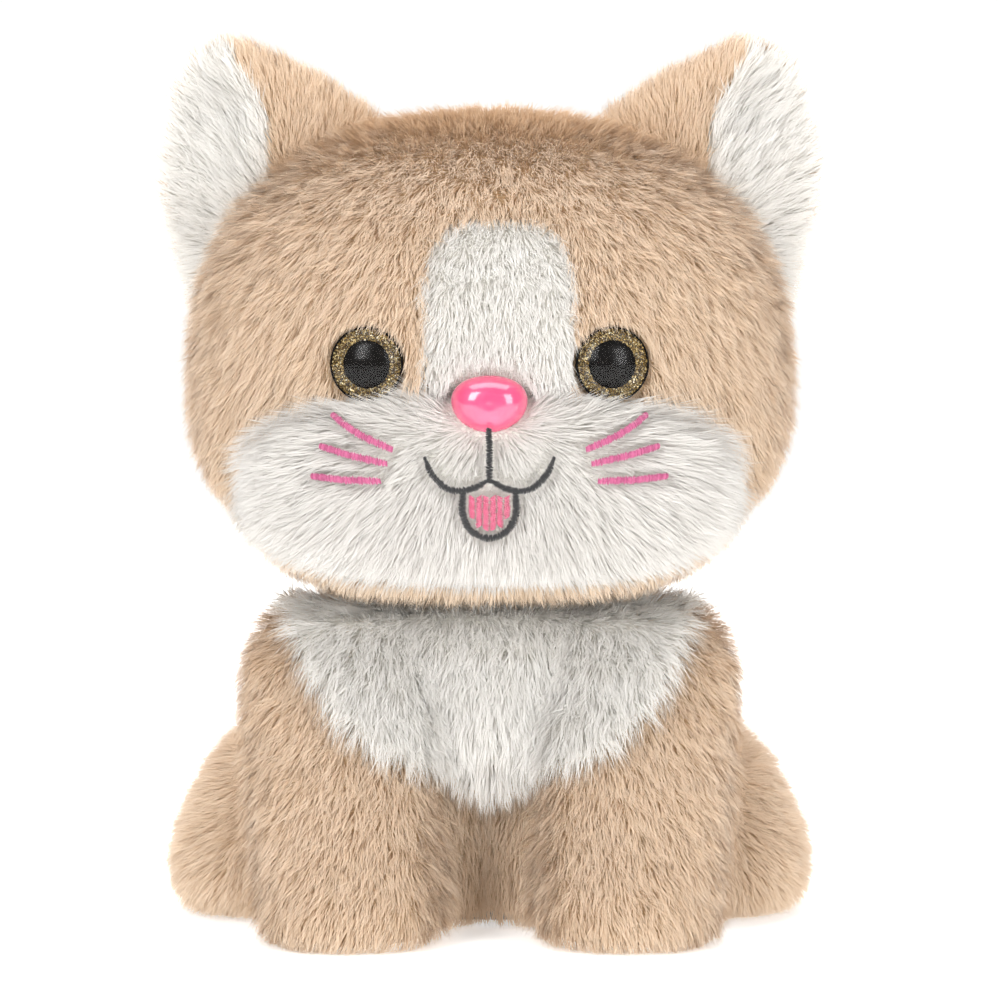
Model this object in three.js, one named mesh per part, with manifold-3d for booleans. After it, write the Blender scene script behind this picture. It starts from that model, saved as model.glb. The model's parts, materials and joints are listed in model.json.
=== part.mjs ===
// Sitting plush kitten with a nodding head, built as an assembly of separate pieces.
// Millimetres, +Z up. The kitten faces -Y, and its own left side is +X.
// The origin is on the surface it sits on, under the middle of its bounding box.
import * as THREE from 'three';
import { mergeVertices } from 'three/addons/utils/BufferGeometryUtils.js';
import Module from 'manifold-3d';

// ---------------------------------------------------------------- driving dimensions
const GAP = 0.35;                       // air kept between neighbouring pieces
const EYE_RADIUS = 10;                  // 20 mm safety eyes
const EYE_SPREAD = 33;                  // each eye's distance from the middle plane
const EYE_HEIGHT = 156.5;
const EYE_TURN = THREE.MathUtils.degToRad(14);

const HEAD = { at: [0, 0, 150], side: 83, front: 56, back: 58, up: 73, down: 54, power: 2.45 };
const MUZZLE = { at: [0, -28, 124], side: 68, front: 36, back: 24, up: 28, down: 30, power: 2.8 };

const PIVOT = { y: 6, z: 76 };          // neck pin, along X
const MODULE = 0.6;                     // gear tooth size
const PRESSURE_ANGLE = THREE.MathUtils.degToRad(25);
const TOOTH_RELIEF = 0.17;              // each tooth is this much thinner than half a pitch
const PINION_TEETH = 12;
const WHEEL_TEETH = 36;
const SECTOR_TEETH = 48;                // on the full circle that the sector is cut from
const CENTRE_SPARE = 0.15;              // added to each centre distance
const AXLE_RADIUS = 1.5;

const HOUSING = { side: 28, front: -24, back: 26, bottom: 2, top: 82, wall: 2 };
const BATTERY_ROOM = { side: 26, front: -15.8, back: 17.8, top: 18 };
const CELL = { radius: 5.2, length: 43.5, pitch: 11.1, z: 11.2, middle: 1 };
const DOOR = { side: 25.6, front: -21.6, screwY: -18.8, axisY: 16.6, z: 3.4, thick: 2 };
const SWITCH_Y = 22;

const PAW = { x: 36.5, y: -45, z: 15 }; // press switch inside the left front paw
const LEAD_RADIUS = 0.9;

// ---------------------------------------------------------------- solids
const wasm = await Module();
wasm.setup();

function solidOf(geometry) {
  const bare = geometry.index ? geometry.toNonIndexed() : geometry.clone();
  bare.deleteAttribute('normal');
  bare.deleteAttribute('uv');
  const merged = mergeVertices(bare, 1e-4);
  return new wasm.Manifold(new wasm.Mesh({
    numProp: 3,
    vertProperties: Float32Array.from(merged.attributes.position.array),
    triVerts: Uint32Array.from(merged.index.array),
  }));
}

function geometryOf(solid) {
  const mesh = solid.getMesh();
  const geometry = new THREE.BufferGeometry();
  geometry.setAttribute('position', new THREE.BufferAttribute(mesh.vertProperties, 3));
  geometry.setIndex(new THREE.BufferAttribute(mesh.triVerts, 1));
  return geometry;
}

function cut(solid, ...tools) {
  return tools.reduce((left, tool) => left.subtract(tool), solid);
}

function join(...solids) {
  return solids.reduce((all, solid) => all.add(solid));
}

// A cut can leave crumbs beside the piece: only the largest body is the piece.
function largest(solid) {
  return solid.decompose().sort((a, b) => b.volume() - a.volume())[0];
}

function box(x0, x1, y0, y1, z0, z1) {
  const geometry = new THREE.BoxGeometry(x1 - x0, y1 - y0, z1 - z0);
  return solidOf(geometry.translate((x0 + x1) / 2, (y0 + y1) / 2, (z0 + z1) / 2));
}

// A round bar along X between two places, at a point of the YZ plane.
function barX(radius, x0, x1, y, z, sides = 16) {
  const geometry = new THREE.CylinderGeometry(radius, radius, x1 - x0, sides).rotateZ(Math.PI / 2);
  return solidOf(geometry.translate((x0 + x1) / 2, y, z));
}

// A turned piece: its profile lists [radius, height] pairs along its own axis, from axis to axis.
// It is turned face outwards, whichever way round the profile is listed.
function turned(profile, sides = 24) {
  const area = profile.reduce((sum, [r, h], i) => {
    const [nextR, nextH] = profile[(i + 1) % profile.length];
    return sum + r * nextH - nextR * h;
  }, 0);
  const ordered = area > 0 ? profile : [...profile].reverse();
  return new THREE.LatheGeometry(ordered.map(([r, h]) => new THREE.Vector2(r, h)), sides);
}

// A rounded form with its own reach in each direction. Power 2 is an ellipsoid, higher is squarer.
function pillow({ at, side, front, back, up, down, power = 2.4 }, grow = 0, detail = 22) {
  const geometry = new THREE.SphereGeometry(1, detail, Math.round(detail * 0.6)).rotateX(Math.PI / 2);
  const position = geometry.attributes.position;
  const v = new THREE.Vector3();
  for (let i = 0; i < position.count; i += 1) {
    v.fromBufferAttribute(position, i);
    const size = Math.abs(v.x) ** power + Math.abs(v.y) ** power + Math.abs(v.z) ** power;
    v.divideScalar(size ** (1 / power));
    v.x = at[0] + v.x * (side + grow);
    v.y = at[1] + v.y * ((v.y < 0 ? front : back) + grow);
    v.z = at[2] + v.z * ((v.z > 0 ? up : down) + grow);
    position.setXYZ(i, v.x, v.y, v.z);
  }
  return solidOf(geometry);
}

// Where the front of a pillow is, at a given x and z.
function frontOf({ at, side, front, up, down, power }, x, z) {
  const dx = Math.abs((x - at[0]) / side) ** power;
  const dz = Math.abs((z - at[2]) / (z > at[2] ? up : down)) ** power;
  return at[1] - front * Math.max(0, 1 - dx - dz) ** (1 / power);
}

// A soft column or body: rounded level slices, with a smooth curve through each of their measures.
function slices(rows, { grow = 0, sides = 22, levels = 10, power = 2.3 } = {}) {
  const rings = [];
  const measure = (key, t) => {
    const curve = new THREE.CatmullRomCurve3(rows.map((row, i) => new THREE.Vector3(i, row[key], 0)));
    return curve.getPoint(t).y;
  };
  for (let level = 0; level <= levels; level += 1) {
    const t = level / levels;
    const lift = level === 0 ? -grow : level === levels ? grow : 0;
    const [z, x, y, wide, deep] = [0, 1, 2, 3, 4].map((key) => measure(key, t));
    rings.push(Array.from({ length: sides }, (_, k) => {
      const turn = (k / sides) * 2 * Math.PI;
      const c = Math.cos(turn);
      const s = Math.sin(turn);
      const size = (Math.abs(c) ** power + Math.abs(s) ** power) ** (1 / power);
      return [x + (c / size) * (wide + grow), y + (s / size) * (deep + grow), z + lift];
    }));
  }
  const middle = (ring) => [0, 1, 2].map((axis) => ring.reduce((sum, p) => sum + p[axis], 0) / sides);
  const points = [middle(rings[0]), ...rings.flat(), middle(rings[levels])];
  const index = [];
  const at = (level, k) => 1 + level * sides + (k % sides);
  const last = points.length - 1;
  for (let k = 0; k < sides; k += 1) {
    index.push(0, at(0, k + 1), at(0, k));
    for (let level = 0; level < levels; level += 1) {
      index.push(at(level, k), at(level, k + 1), at(level + 1, k + 1));
      index.push(at(level, k), at(level + 1, k + 1), at(level + 1, k));
    }
    index.push(last, at(levels, k), at(levels, k + 1));
  }
  const geometry = new THREE.BufferGeometry();
  geometry.setAttribute('position', new THREE.Float32BufferAttribute(points.flat(), 3));
  geometry.setIndex(index);
  return solidOf(geometry);
}

// A flat outline in the YZ plane, given as [y, z] points, made thick along X.
function plateX(outline, x0, x1) {
  const shape = new THREE.Shape(outline.map(([y, z]) => new THREE.Vector2(y, z)));
  const geometry = new THREE.ExtrudeGeometry(shape, { depth: x1 - x0, bevelEnabled: false });
  const turn = new THREE.Matrix4().makeBasis(
    new THREE.Vector3(0, 1, 0), new THREE.Vector3(0, 0, 1), new THREE.Vector3(1, 0, 0));
  return solidOf(geometry.applyMatrix4(turn).translate(x0, 0, 0));
}

// A flat outline in the XZ plane, as a THREE.Shape, made thick along Y.
function plateY(shape, y0, y1, curveSegments = 10) {
  const depth = y1 - y0;
  const geometry = new THREE.ExtrudeGeometry(shape, { depth, bevelEnabled: false, curveSegments });
  return solidOf(geometry.rotateX(Math.PI / 2).translate(0, y1, 0));
}

// A round bar or tube that follows a curve.
function bar(points, radius, sides = 8, steps = 24) {
  const section = new THREE.Shape(Array.from({ length: sides }, (_, k) => {
    const turn = (k / sides) * 2 * Math.PI;
    return new THREE.Vector2(radius * Math.cos(turn), radius * Math.sin(turn));
  }));
  const path = new THREE.CatmullRomCurve3(points.map((p) => new THREE.Vector3(...p)));
  return solidOf(new THREE.ExtrudeGeometry(section, { steps, extrudePath: path, bevelEnabled: false }));
}

// ---------------------------------------------------------------- the assembly
const kitten = new THREE.Group();
const FINISH = {
  tanPlush: [0xcfb393, 0.95, 0], whitePlush: [0xf1efe9, 0.95, 0], stitchPink: [0xc95685, 0.6, 0],
  stitchBlack: [0x151515, 0.6, 0], tongue: [0xd4628a, 0.8, 0], nosePink: [0xf0658d, 0.15, 0],
  clear: [0xe8e6de, 0.05, 0], glitterGold: [0xa08b4c, 0.4, 0.6],
  washerWhite: [0xe4e4df, 0.5, 0], shellGrey: [0xd9d7cf, 0.5, 0], frameWhite: [0xe9e7e0, 0.45, 0],
  gearWhite: [0xf2f0e6, 0.4, 0], steel: [0xb9bcc0, 0.3, 1], board: [0x1f5f3c, 0.5, 0],
  cellJacket: [0x2f6fae, 0.35, 0.2], speakerBlack: [0x1b1b1d, 0.6, 0], lead: [0xb3262a, 0.5, 0],
  switchBlack: [0x161616, 0.45, 0],
};

function add(name, solid, finish) {
  const [color, roughness, metalness] = FINISH[finish];
  const geometry = solid.isBufferGeometry ? solid : geometryOf(solid);
  const mesh = new THREE.Mesh(geometry, new THREE.MeshStandardMaterial({ color, roughness, metalness }));
  mesh.name = name;
  kitten.add(mesh);
}

const SIDES = [['left', 1], ['right', -1]];

// ---------------------------------------------------------------- neck frame and gear train
// Outline of a spur gear with involute flanks; one tooth is centred on the angle called phase.
function gearOutline(teeth, middle, phase) {
  const pitch = (MODULE * teeth) / 2;
  const base = pitch * Math.cos(PRESSURE_ANGLE);
  const root = pitch - 1.25 * MODULE;
  const tip = pitch + MODULE;
  const involute = (angle) => Math.tan(angle) - angle;
  const halfAtPitch = ((Math.PI * MODULE) / 2 - TOOTH_RELIEF) / (2 * pitch);
  const half = (radius) => {
    const angle = Math.acos(Math.min(1, base / radius));
    return halfAtPitch + involute(PRESSURE_ANGLE) - involute(angle);
  };
  const radii = [root, ...(base > root ? [base] : []), tip];
  const points = [];
  for (let tooth = 0; tooth < teeth; tooth += 1) {
    const centre = phase + (tooth / teeth) * 2 * Math.PI;
    radii.forEach((r) => points.push([r, centre - half(Math.max(r, base))]));
    [...radii].reverse().forEach((r) => points.push([r, centre + half(Math.max(r, base))]));
  }
  return points.map(([r, turn]) => [middle.y + r * Math.cos(turn), middle.z + r * Math.sin(turn)]);
}

const reach = (a, b) => (MODULE * (a + b)) / 2 + CENTRE_SPARE;
const from = (point, length, turn) => (
  { y: point.y + length * Math.cos(turn), z: point.z + length * Math.sin(turn) });
// A gear that meets another across their line of centres has a space there, not a tooth.
const meshing = (turn, teeth) => turn + Math.PI + Math.PI / teeth;

const DOWN = -Math.PI / 2;
const TO_A = THREE.MathUtils.degToRad(-120);
const TO_MOTOR = THREE.MathUtils.degToRad(-45);
const GEAR_B = from(PIVOT, reach(SECTOR_TEETH, PINION_TEETH), DOWN);
const GEAR_A = from(GEAR_B, reach(WHEEL_TEETH, PINION_TEETH), TO_A);
const MOTOR = from(GEAR_A, reach(WHEEL_TEETH, PINION_TEETH), TO_MOTOR);
const PLANES = { sector: [-3, 3], second: [4, 8], first: [9, 13] };

function spurGear(teeth, middle, phase, [x0, x1]) {
  return plateX(gearOutline(teeth, middle, phase), x0, x1);
}

// The paddle and stem inside the head, with an allowance for the pocket that takes them.
function headCore(grow) {
  const wide = 26 + grow;
  const tall = 20 + grow;
  const corner = 8;
  const paddle = new THREE.Shape();
  paddle.moveTo(-wide + corner, -tall);
  paddle.lineTo(wide - corner, -tall).quadraticCurveTo(wide, -tall, wide, -tall + corner);
  paddle.lineTo(wide, tall - corner).quadraticCurveTo(wide, tall, wide - corner, tall);
  paddle.lineTo(-wide + corner, tall).quadraticCurveTo(-wide, tall, -wide, tall - corner);
  paddle.lineTo(-wide, -tall + corner).quadraticCurveTo(-wide, -tall, -wide + corner, -tall);
  const plate = plateY(paddle, PIVOT.y - 3 - grow, PIVOT.y + 3 + grow, 4).translate([0, 0, 148]);
  return join(plate, box(-4 - grow, 4 + grow, PIVOT.y - 4 - grow, PIVOT.y + 4 + grow, PIVOT.z, 148));
}

const wedge = plateX([
  [PIVOT.y, PIVOT.z + 2],
  [PIVOT.y - 11, PIVOT.z - 24],
  [PIVOT.y + 11, PIVOT.z - 24],
], -3, 3);
const sector = spurGear(SECTOR_TEETH, PIVOT, DOWN, PLANES.sector).intersect(wedge);
const hub = barX(4.6, -5, 5, PIVOT.y, PIVOT.z);
const neckBore = barX(AXLE_RADIUS + GAP, -6, 6, PIVOT.y, PIVOT.z);
add('head_frame', cut(join(headCore(0), sector, hub), neckBore), 'frameWhite');
add('neck_pin', barX(AXLE_RADIUS, -25, 25, PIVOT.y, PIVOT.z, 16), 'steel');

const gearB = join(
  spurGear(PINION_TEETH, GEAR_B, meshing(DOWN, PINION_TEETH), [PLANES.sector[0], PLANES.second[0] + 0.5]),
  spurGear(WHEEL_TEETH, GEAR_B, TO_A, PLANES.second));
const gearA = join(
  spurGear(PINION_TEETH, GEAR_A, meshing(TO_A, PINION_TEETH), [PLANES.second[0], PLANES.first[0] + 0.5]),
  spurGear(WHEEL_TEETH, GEAR_A, TO_MOTOR, PLANES.first));
[['gear_b', gearB, GEAR_B], ['gear_a', gearA, GEAR_A]].forEach(([name, gear, middle]) => {
  add(name, cut(gear, barX(AXLE_RADIUS + GAP, -8, 16, middle.y, middle.z)), 'gearWhite');
  add(`${name}_pin`, barX(AXLE_RADIUS, -25, 25, middle.y, middle.z, 16), 'steel');
});

// Motor can with two flats, and the pinion that turns with the motor shaft.
const MOTOR_X = [-22, 3];
const can = barX(9.8, ...MOTOR_X, MOTOR.y, MOTOR.z, 28)
  .intersect(box(-30, 10, MOTOR.y - 12, MOTOR.y + 12, MOTOR.z - 7.6, MOTOR.z + 7.6));
const shaftHole = barX(1 + GAP, -2, 6, MOTOR.y, MOTOR.z, 16);
add('motor', cut(join(can, barX(3, 2, 5, MOTOR.y, MOTOR.z)), shaftHole), 'steel');
add('motor_pinion', join(
  spurGear(PINION_TEETH, MOTOR, meshing(TO_MOTOR, PINION_TEETH), PLANES.first),
  barX(1, -1.5, 14.5, MOTOR.y, MOTOR.z, 16)), 'steel');

// ---------------------------------------------------------------- housing, in two halves
const SCREWS = [[-18.5, 76.5], [20.5, 76.5], [20.5, 23.5]];
const LEAD_PATH = [
  [PAW.x, -41.6, PAW.z], [PAW.x - 1, -37, PAW.z + 2], [30, -31, 22], [23, -27, 28], [20, -22, 31],
  [18.5, -12, 33], [19, 6, 34], [20, 19.5, 36],
];
const leadRoute = bar(LEAD_PATH, LEAD_RADIUS + 0.6, 8, 24);
const SPEAKER = { z: 57, radius: 12.8 };

function housingHalf(sign) {
  const across = (x0, x1) => (sign > 0 ? [x0, x1] : [-x1, -x0]);
  const { side, front, back, bottom, top, wall } = HOUSING;
  const block = (x0, x1, ...rest) => box(...across(x0, x1), ...rest);
  const rod = (radius, x0, x1, y, z) => barX(radius, ...across(x0, x1), y, z);
  const split = GAP / 2;
  const shell = cut(
    block(split, side, front, back, bottom, top),
    block(-1, side - wall, front + wall, back - wall, BATTERY_ROOM.top + wall, top - wall),
    block(-1, BATTERY_ROOM.side, BATTERY_ROOM.front, BATTERY_ROOM.back, bottom - 1, BATTERY_ROOM.top),
    block(-1, BATTERY_ROOM.side, front + wall, BATTERY_ROOM.back, bottom - 1, DOOR.z + 1.5),
    block(-1, 5.5, PIVOT.y - 8, PIVOT.y + 8, top - 4, top + 1),
    block(-1, 8, SWITCH_Y - 2.2, SWITCH_Y + 2.2, 4, 12),
    block(-1, 5, SWITCH_Y - 1.5, SWITCH_Y + 1.5, bottom - 1, 5));
  const axles = [PIVOT, GEAR_A, GEAR_B];
  const bosses = axles.map(({ y, z }) => rod(3.6, 16, side - 1, y, z));
  const posts = SCREWS.map(([y, z]) => rod(3, split, side - 1, y, z));
  const bores = axles.map(({ y, z }) => rod(AXLE_RADIUS + GAP, 14, 26, y, z));
  const screwHoles = SCREWS.map(([y, z]) => rod(1.7, -1, 15, y, z));
  const extra = sign > 0 ? [leadRoute] : [
    ...SCREWS.map(([y, z]) => rod(1.7, -1, side + 1, y, z)),
    ...SCREWS.map(([y, z]) => rod(3.2, side - wall, side + 1, y, z)),
  ];
  const screwEye = solidOf(new THREE.CylinderGeometry(1.9, 1.9, 10, 16).rotateX(Math.PI / 2)
    .translate(0, DOOR.screwY, 8));
  const voice = [0, 1, 2, 3, 4, 5, 6].map((k) => {
    const turn = (k / 6) * 2 * Math.PI;
    const out = k === 6 ? 0 : 7;
    const hole = new THREE.CylinderGeometry(1.3, 1.3, 6, 10);
    return solidOf(hole.translate(out * Math.sin(turn), front, SPEAKER.z + out * Math.cos(turn)));
  });
  const openings = [...bores, ...screwHoles, ...extra, screwEye, ...voice];
  return largest(cut(join(shell, ...bosses, ...posts), ...openings));
}
add('housing_left', housingHalf(1), 'shellGrey');
add('housing_right', housingHalf(-1), 'shellGrey');
SCREWS.forEach(([y, z], i) => {
  const shank = barX(1.3, -27, 12, y, z, 12);
  const slot = box(-29, -27.1, y - 0.4, y + 0.4, z - 2, z + 2);
  add(`housing_screw_${i + 1}`, cut(join(shank, barX(2.7, -27.8, -26.3, y, z, 16)), slot), 'steel');
});

// Speaker behind the sound holes: steel basket with its magnet, and the paper cone.
const basket = turned([
  [0, 8], [6.5, 8], [6.5, 4.5], [9, 4.5], [SPEAKER.radius, 1.2], [SPEAKER.radius, 0],
  [11.2, 0], [11.2, 1], [8.2, 3.4], [0, 3.6],
]);
const cone = turned([[0, 2.9], [2.6, 2.9], [10.6, 0.9], [10.8, 0.5], [10.4, 0.3], [2.6, 2.2], [0, 1.6]]);
const toSpeaker = (geometry) => geometry.translate(0, HOUSING.front + HOUSING.wall + GAP, SPEAKER.z);
add('speaker_basket', solidOf(toSpeaker(basket)), 'steel');
add('speaker_cone', solidOf(toSpeaker(cone)), 'speakerBlack');

const board = box(-22, 22, 21.6, 23.2, 28, 72);
const chips = [[6, 18, 50, 62], [-18, -11, 34, 41], [-4, 1, 64, 69], [-16, -8, 55, 59]];
const parts = chips.map(([x0, x1, z0, z1]) => box(x0, x1, 20, 21.8, z0, z1));
add('circuit_board', join(board, ...parts), 'board');

// ---------------------------------------------------------------- cells, contacts, door and switch
[-1, 0, 1].forEach((row) => {
  const end = CELL.length / 2;
  const flip = row === 0 ? -1 : 1;
  const { radius } = CELL;
  const shape = [[0, -end], [radius, -end], [radius, end], [1.9, end], [1.9, end + 1], [0, end + 1]];
  const cell = turned(shape, 24).rotateZ((-Math.PI / 2) * flip);
  add(`cell_${row + 2}`, solidOf(cell.translate(0, CELL.middle + row * CELL.pitch, CELL.z)), 'cellJacket');
});
SIDES.forEach(([name, sign]) => {
  const x = [24.2 * sign, 25 * sign].sort((a, b) => a - b);
  add(`contact_${name}`, box(...x, -14.5, 16.5, 6, 16.5), 'steel');
});

const doorPlate = join(
  box(-DOOR.side, DOOR.side, DOOR.front, DOOR.axisY, DOOR.z - DOOR.thick / 2, DOOR.z + DOOR.thick / 2),
  barX(DOOR.thick / 2, -DOOR.side, DOOR.side, DOOR.axisY, DOOR.z, 20));
const doorHole = new THREE.CylinderGeometry(1.7, 1.7, 6, 16)
  .rotateX(Math.PI / 2).translate(0, DOOR.screwY, DOOR.z);
const doorSink = new THREE.CylinderGeometry(2.9, 2.9, 2, 20)
  .rotateX(Math.PI / 2).translate(0, DOOR.screwY, 2.1);
add('battery_door', cut(doorPlate, solidOf(doorHole), solidOf(doorSink)), 'shellGrey');
const doorScrew = turned([[0, 0], [2.5, 0], [2.5, 0.6], [1.25, 0.7], [1.25, 5.4], [0, 5.4]], 16)
  .rotateX(Math.PI / 2).translate(0, DOOR.screwY, 2.4);
add('door_screw', solidOf(doorScrew), 'steel');
// The knob slides 4 mm towards +X from here.
add('power_switch_knob', join(
  box(-6, 2, SWITCH_Y - 1.8, SWITCH_Y + 1.8, 4.35, 5.8),
  box(-3.5, -0.5, SWITCH_Y - 1, SWITCH_Y + 1, 1.2, 4.5)), 'switchBlack');

// ---------------------------------------------------------------- press switch in the left paw
const alongY = (geometry, y) => solidOf(geometry.translate(PAW.x, y, PAW.z));
add('paw_switch_case', alongY(turned([
  [0, 0], [9, 0], [9, -7], [7.4, -7], [7.4, -2], [0, -2],
]), -42.6), 'shellGrey');
add('paw_switch_cap', alongY(turned([
  [0, 0], [7, 0], [7, -5.5], [6, -6.5], [0, -7],
]), -48.6), 'switchBlack');
const SPRING = { turns: 2, radius: 4, wire: 0.18, length: 1.3 }; // wire is its radius; at its pressed length
const coil = Array.from({ length: SPRING.turns * 8 + 1 }, (_, k) => {
  const turn = (k / 8) * 2 * Math.PI;
  const y = -45.2 - (k / (SPRING.turns * 8)) * SPRING.length;
  return [PAW.x + SPRING.radius * Math.cos(turn), y, PAW.z + SPRING.radius * Math.sin(turn)];
});
add('paw_switch_spring', bar(coil, SPRING.wire, 5, SPRING.turns * 10), 'steel');
add('paw_lead', bar(LEAD_PATH, LEAD_RADIUS, 8, 24), 'lead');
const pawPocket = alongY(turned([[0, 0], [9.5, 0], [9.5, -14.6], [0, -14.6]]), -42.2);

// ---------------------------------------------------------------- plush body
const TORSO_ROWS = [
  [0, 0, 6, 50, 42], [3, 0, 6, 57, 48], [14, 0, 6, 61, 51], [34, 0, 5, 60, 51], [54, 0, 3, 57, 47],
  [70, 0, 2, 54, 43], [79, 0, 2, 48, 38], [84.5, 0, 2, 37, 30], [86.5, 0, 2, 25, 20],
];
const LEG_ROWS = [
  [0, 36.5, -45, 17, 18], [3, 36.5, -45, 22.5, 23.5], [10, 36.5, -45, 24.5, 25], [22, 37, -42.5, 25, 24],
  [38, 38, -38, 26, 22], [54, 38.5, -34, 26, 21], [68, 37, -29, 24, 18], [79, 34, -24, 19, 14],
  [84.5, 32, -20, 12, 9], [86, 31, -19, 6, 4],
];
const legRows = (sign) => LEG_ROWS.map(([z, x, ...rest]) => [z, x * sign, ...rest]);
const torsoAround = slices(TORSO_ROWS, { grow: GAP });
const room = 0.5;
const housingRoom = box(
  -HOUSING.side - room, HOUSING.side + room, HOUSING.front - room, HOUSING.back + room, -1, HOUSING.top + room);
const neckWay = box(-5.5, 5.5, PIVOT.y - 8.5, PIVOT.y + 8.5, 80, 90);
add('torso_plush', cut(slices(TORSO_ROWS), housingRoom, neckWay, leadRoute), 'tanPlush');

const haunch = (sign) => (
  { at: [60 * sign, 14, 16], side: 28, front: 40, back: 34, up: 44, down: 20, power: 2.3 });
const floorBlock = box(-120, 120, -120, 120, -60, 0);
SIDES.forEach(([name, sign]) => {
  const inside = sign > 0 ? [pawPocket, leadRoute] : [];
  add(`front_leg_${name}`, largest(cut(slices(legRows(sign)), torsoAround, ...inside)), 'tanPlush');
  const legAround = slices(legRows(sign), { grow: GAP });
  add(`haunch_${name}`, largest(cut(pillow(haunch(sign)), torsoAround, legAround, floorBlock)), 'tanPlush');
});

const tail = bar([[-22, 50, 13], [0, 58.5, 12], [24, 60, 11.5], [46, 57, 11]], 10.5, 14, 12);
const haunchesAround = SIDES.map(([, sign]) => pillow(haunch(sign), GAP));
add('tail', largest(cut(tail, torsoAround, ...haunchesAround)), 'tanPlush');

// The bib is a pointed panel laid over the chest and the tops of the front legs.
const BIB_THICK = 3.5;
const bibOutline = new THREE.Shape();
bibOutline.moveTo(-46, 84).bezierCurveTo(-47, 66, -34, 54, -20, 50).quadraticCurveTo(-10, 47, 0, 40);
bibOutline.quadraticCurveTo(10, 47, 20, 50).bezierCurveTo(34, 54, 47, 66, 46, 84);
const chestAround = (grow) => [
  slices(TORSO_ROWS, { grow }), ...SIDES.map(([, sign]) => slices(legRows(sign), { grow }))];
const chest = join(...chestAround(BIB_THICK)).intersect(plateY(bibOutline, -90, -18, 4));
add('chest_bib', largest(cut(chest, ...chestAround(GAP))), 'whitePlush');

const collar = turned([[15, 87], [29, 86.9], [27, 89.5], [18, 90.4], [15, 90], [15, 87]]);
add('neck_gusset', cut(solidOf(collar.rotateX(Math.PI / 2)).translate([0, 3, 0]), torsoAround), 'tanPlush');

// ---------------------------------------------------------------- eyes and nose
// Each eye is a clear dome, a painted glitter iris with its stem, and a washer behind the fabric.
const EYE_DOME = [[0, 0], [9.9, 0], [9.8, 0.9], [8.6, 3], [6.2, 4.8], [3.2, 5.8], [0, 6.1]];
const EYE_IRIS = [[0, -14], [2.1, -14], [2.1, -2.2], [9.6, -2.2], [9.8, -0.4], [0, -0.4]];
const WASHER = [[2.6, -10], [7.4, -10], [7.4, -8.6], [2.6, -8.6], [2.6, -10]];
const EYE_POCKET = [
  [0, -15], [8, -15], [8, -8.2], [2.5, -8.2], [2.5, -3], [EYE_RADIUS + 0.4, -3], [EYE_RADIUS + 0.4, 30], [0, 30],
];
// Turns a piece made along its own axis to look forward, and out by the eye's turn.
function facing(profile, sign, sides) {
  const x = EYE_SPREAD * sign;
  const y = frontOf(HEAD, EYE_SPREAD, EYE_HEIGHT) + 1.6;
  const geometry = turned(profile, sides).rotateX(Math.PI).rotateZ(EYE_TURN * sign);
  return solidOf(geometry.translate(x, y, EYE_HEIGHT));
}
const eyePockets = SIDES.map(([, sign]) => facing(EYE_POCKET, sign, 24));
SIDES.forEach(([name, sign]) => {
  add(`eye_lens_${name}`, facing(EYE_DOME, sign, 28), 'clear');
  add(`eye_iris_${name}`, facing(EYE_IRIS, sign, 24), 'glitterGold');
  add(`eye_washer_${name}`, facing(WASHER, sign, 20), 'washerWhite');
});

// A rounded triangle, point down.
function noseShape(grow) {
  const shape = new THREE.Shape();
  const w = 10.2 + grow;
  shape.moveTo(0, -7.4 - grow);
  shape.bezierCurveTo(3.2, -7.4 - grow, w, -0.5, w, 3.6);
  shape.bezierCurveTo(w, 6.6 + grow, 5, 7 + grow, 0, 7 + grow);
  shape.bezierCurveTo(-5, 7 + grow, -w, 6.6 + grow, -w, 3.6);
  shape.bezierCurveTo(-w, -0.5, -3.2, -7.4 - grow, 0, -7.4 - grow);
  return shape;
}
const NOSE = { y: -58.5, z: 147, proud: 8.5 };
const noseBall = pillow({
  at: [0, NOSE.y, NOSE.z], side: 11.5, front: NOSE.proud, back: 3, up: 8.6, down: 9,
});
const noseBody = plateY(noseShape(0), -80, NOSE.y + 2, 5).translate([0, 0, NOSE.z]).intersect(noseBall);
const noseStem = solidOf(new THREE.CylinderGeometry(2, 2, 14, 16).translate(0, NOSE.y + 8, NOSE.z));
const nosePocket = join(
  plateY(noseShape(0.5), -90, NOSE.y + 2.6, 5).translate([0, 0, NOSE.z]),
  solidOf(new THREE.CylinderGeometry(2.4, 2.4, 16, 16).translate(0, NOSE.y + 8, NOSE.z)),
  solidOf(new THREE.CylinderGeometry(7, 7, 6, 20).translate(0, NOSE.y + 14, NOSE.z)));
add('nose', join(noseBody, noseStem), 'nosePink');
const noseWasher = turned([[2.5, 0], [6.4, 0], [6.4, 1.4], [2.5, 1.4], [2.5, 0]], 20);
add('nose_washer', solidOf(noseWasher.translate(0, NOSE.y + 12, NOSE.z)), 'washerWhite');

// ---------------------------------------------------------------- head, muzzle, blaze and ears
const facePockets = [...eyePockets, nosePocket];
add('head_plush', cut(pillow(HEAD), headCore(0.5), box(-6, 6, -3, 15, 80, 108), ...facePockets), 'tanPlush');
const headAround = pillow(HEAD, GAP);
const muzzle = largest(cut(pillow(MUZZLE), headAround, ...facePockets));
add('muzzle_panel', muzzle, 'whitePlush');

// The white stripe from the crown down between the eyes, as a thin panel over the forehead.
const stripe = new THREE.Shape();
stripe.moveTo(-20, 132).lineTo(20, 132).lineTo(20, 176);
stripe.bezierCurveTo(20, 190, 10, 196, 0, 196);
stripe.bezierCurveTo(-10, 196, -20, 190, -20, 176);
const muzzleAround = pillow(MUZZLE, GAP);
const blaze = pillow(HEAD, 2.6).intersect(plateY(stripe, -80, -10, 6));
add('forehead_blaze', largest(cut(blaze, headAround, muzzleAround, ...facePockets)), 'whitePlush');

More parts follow.
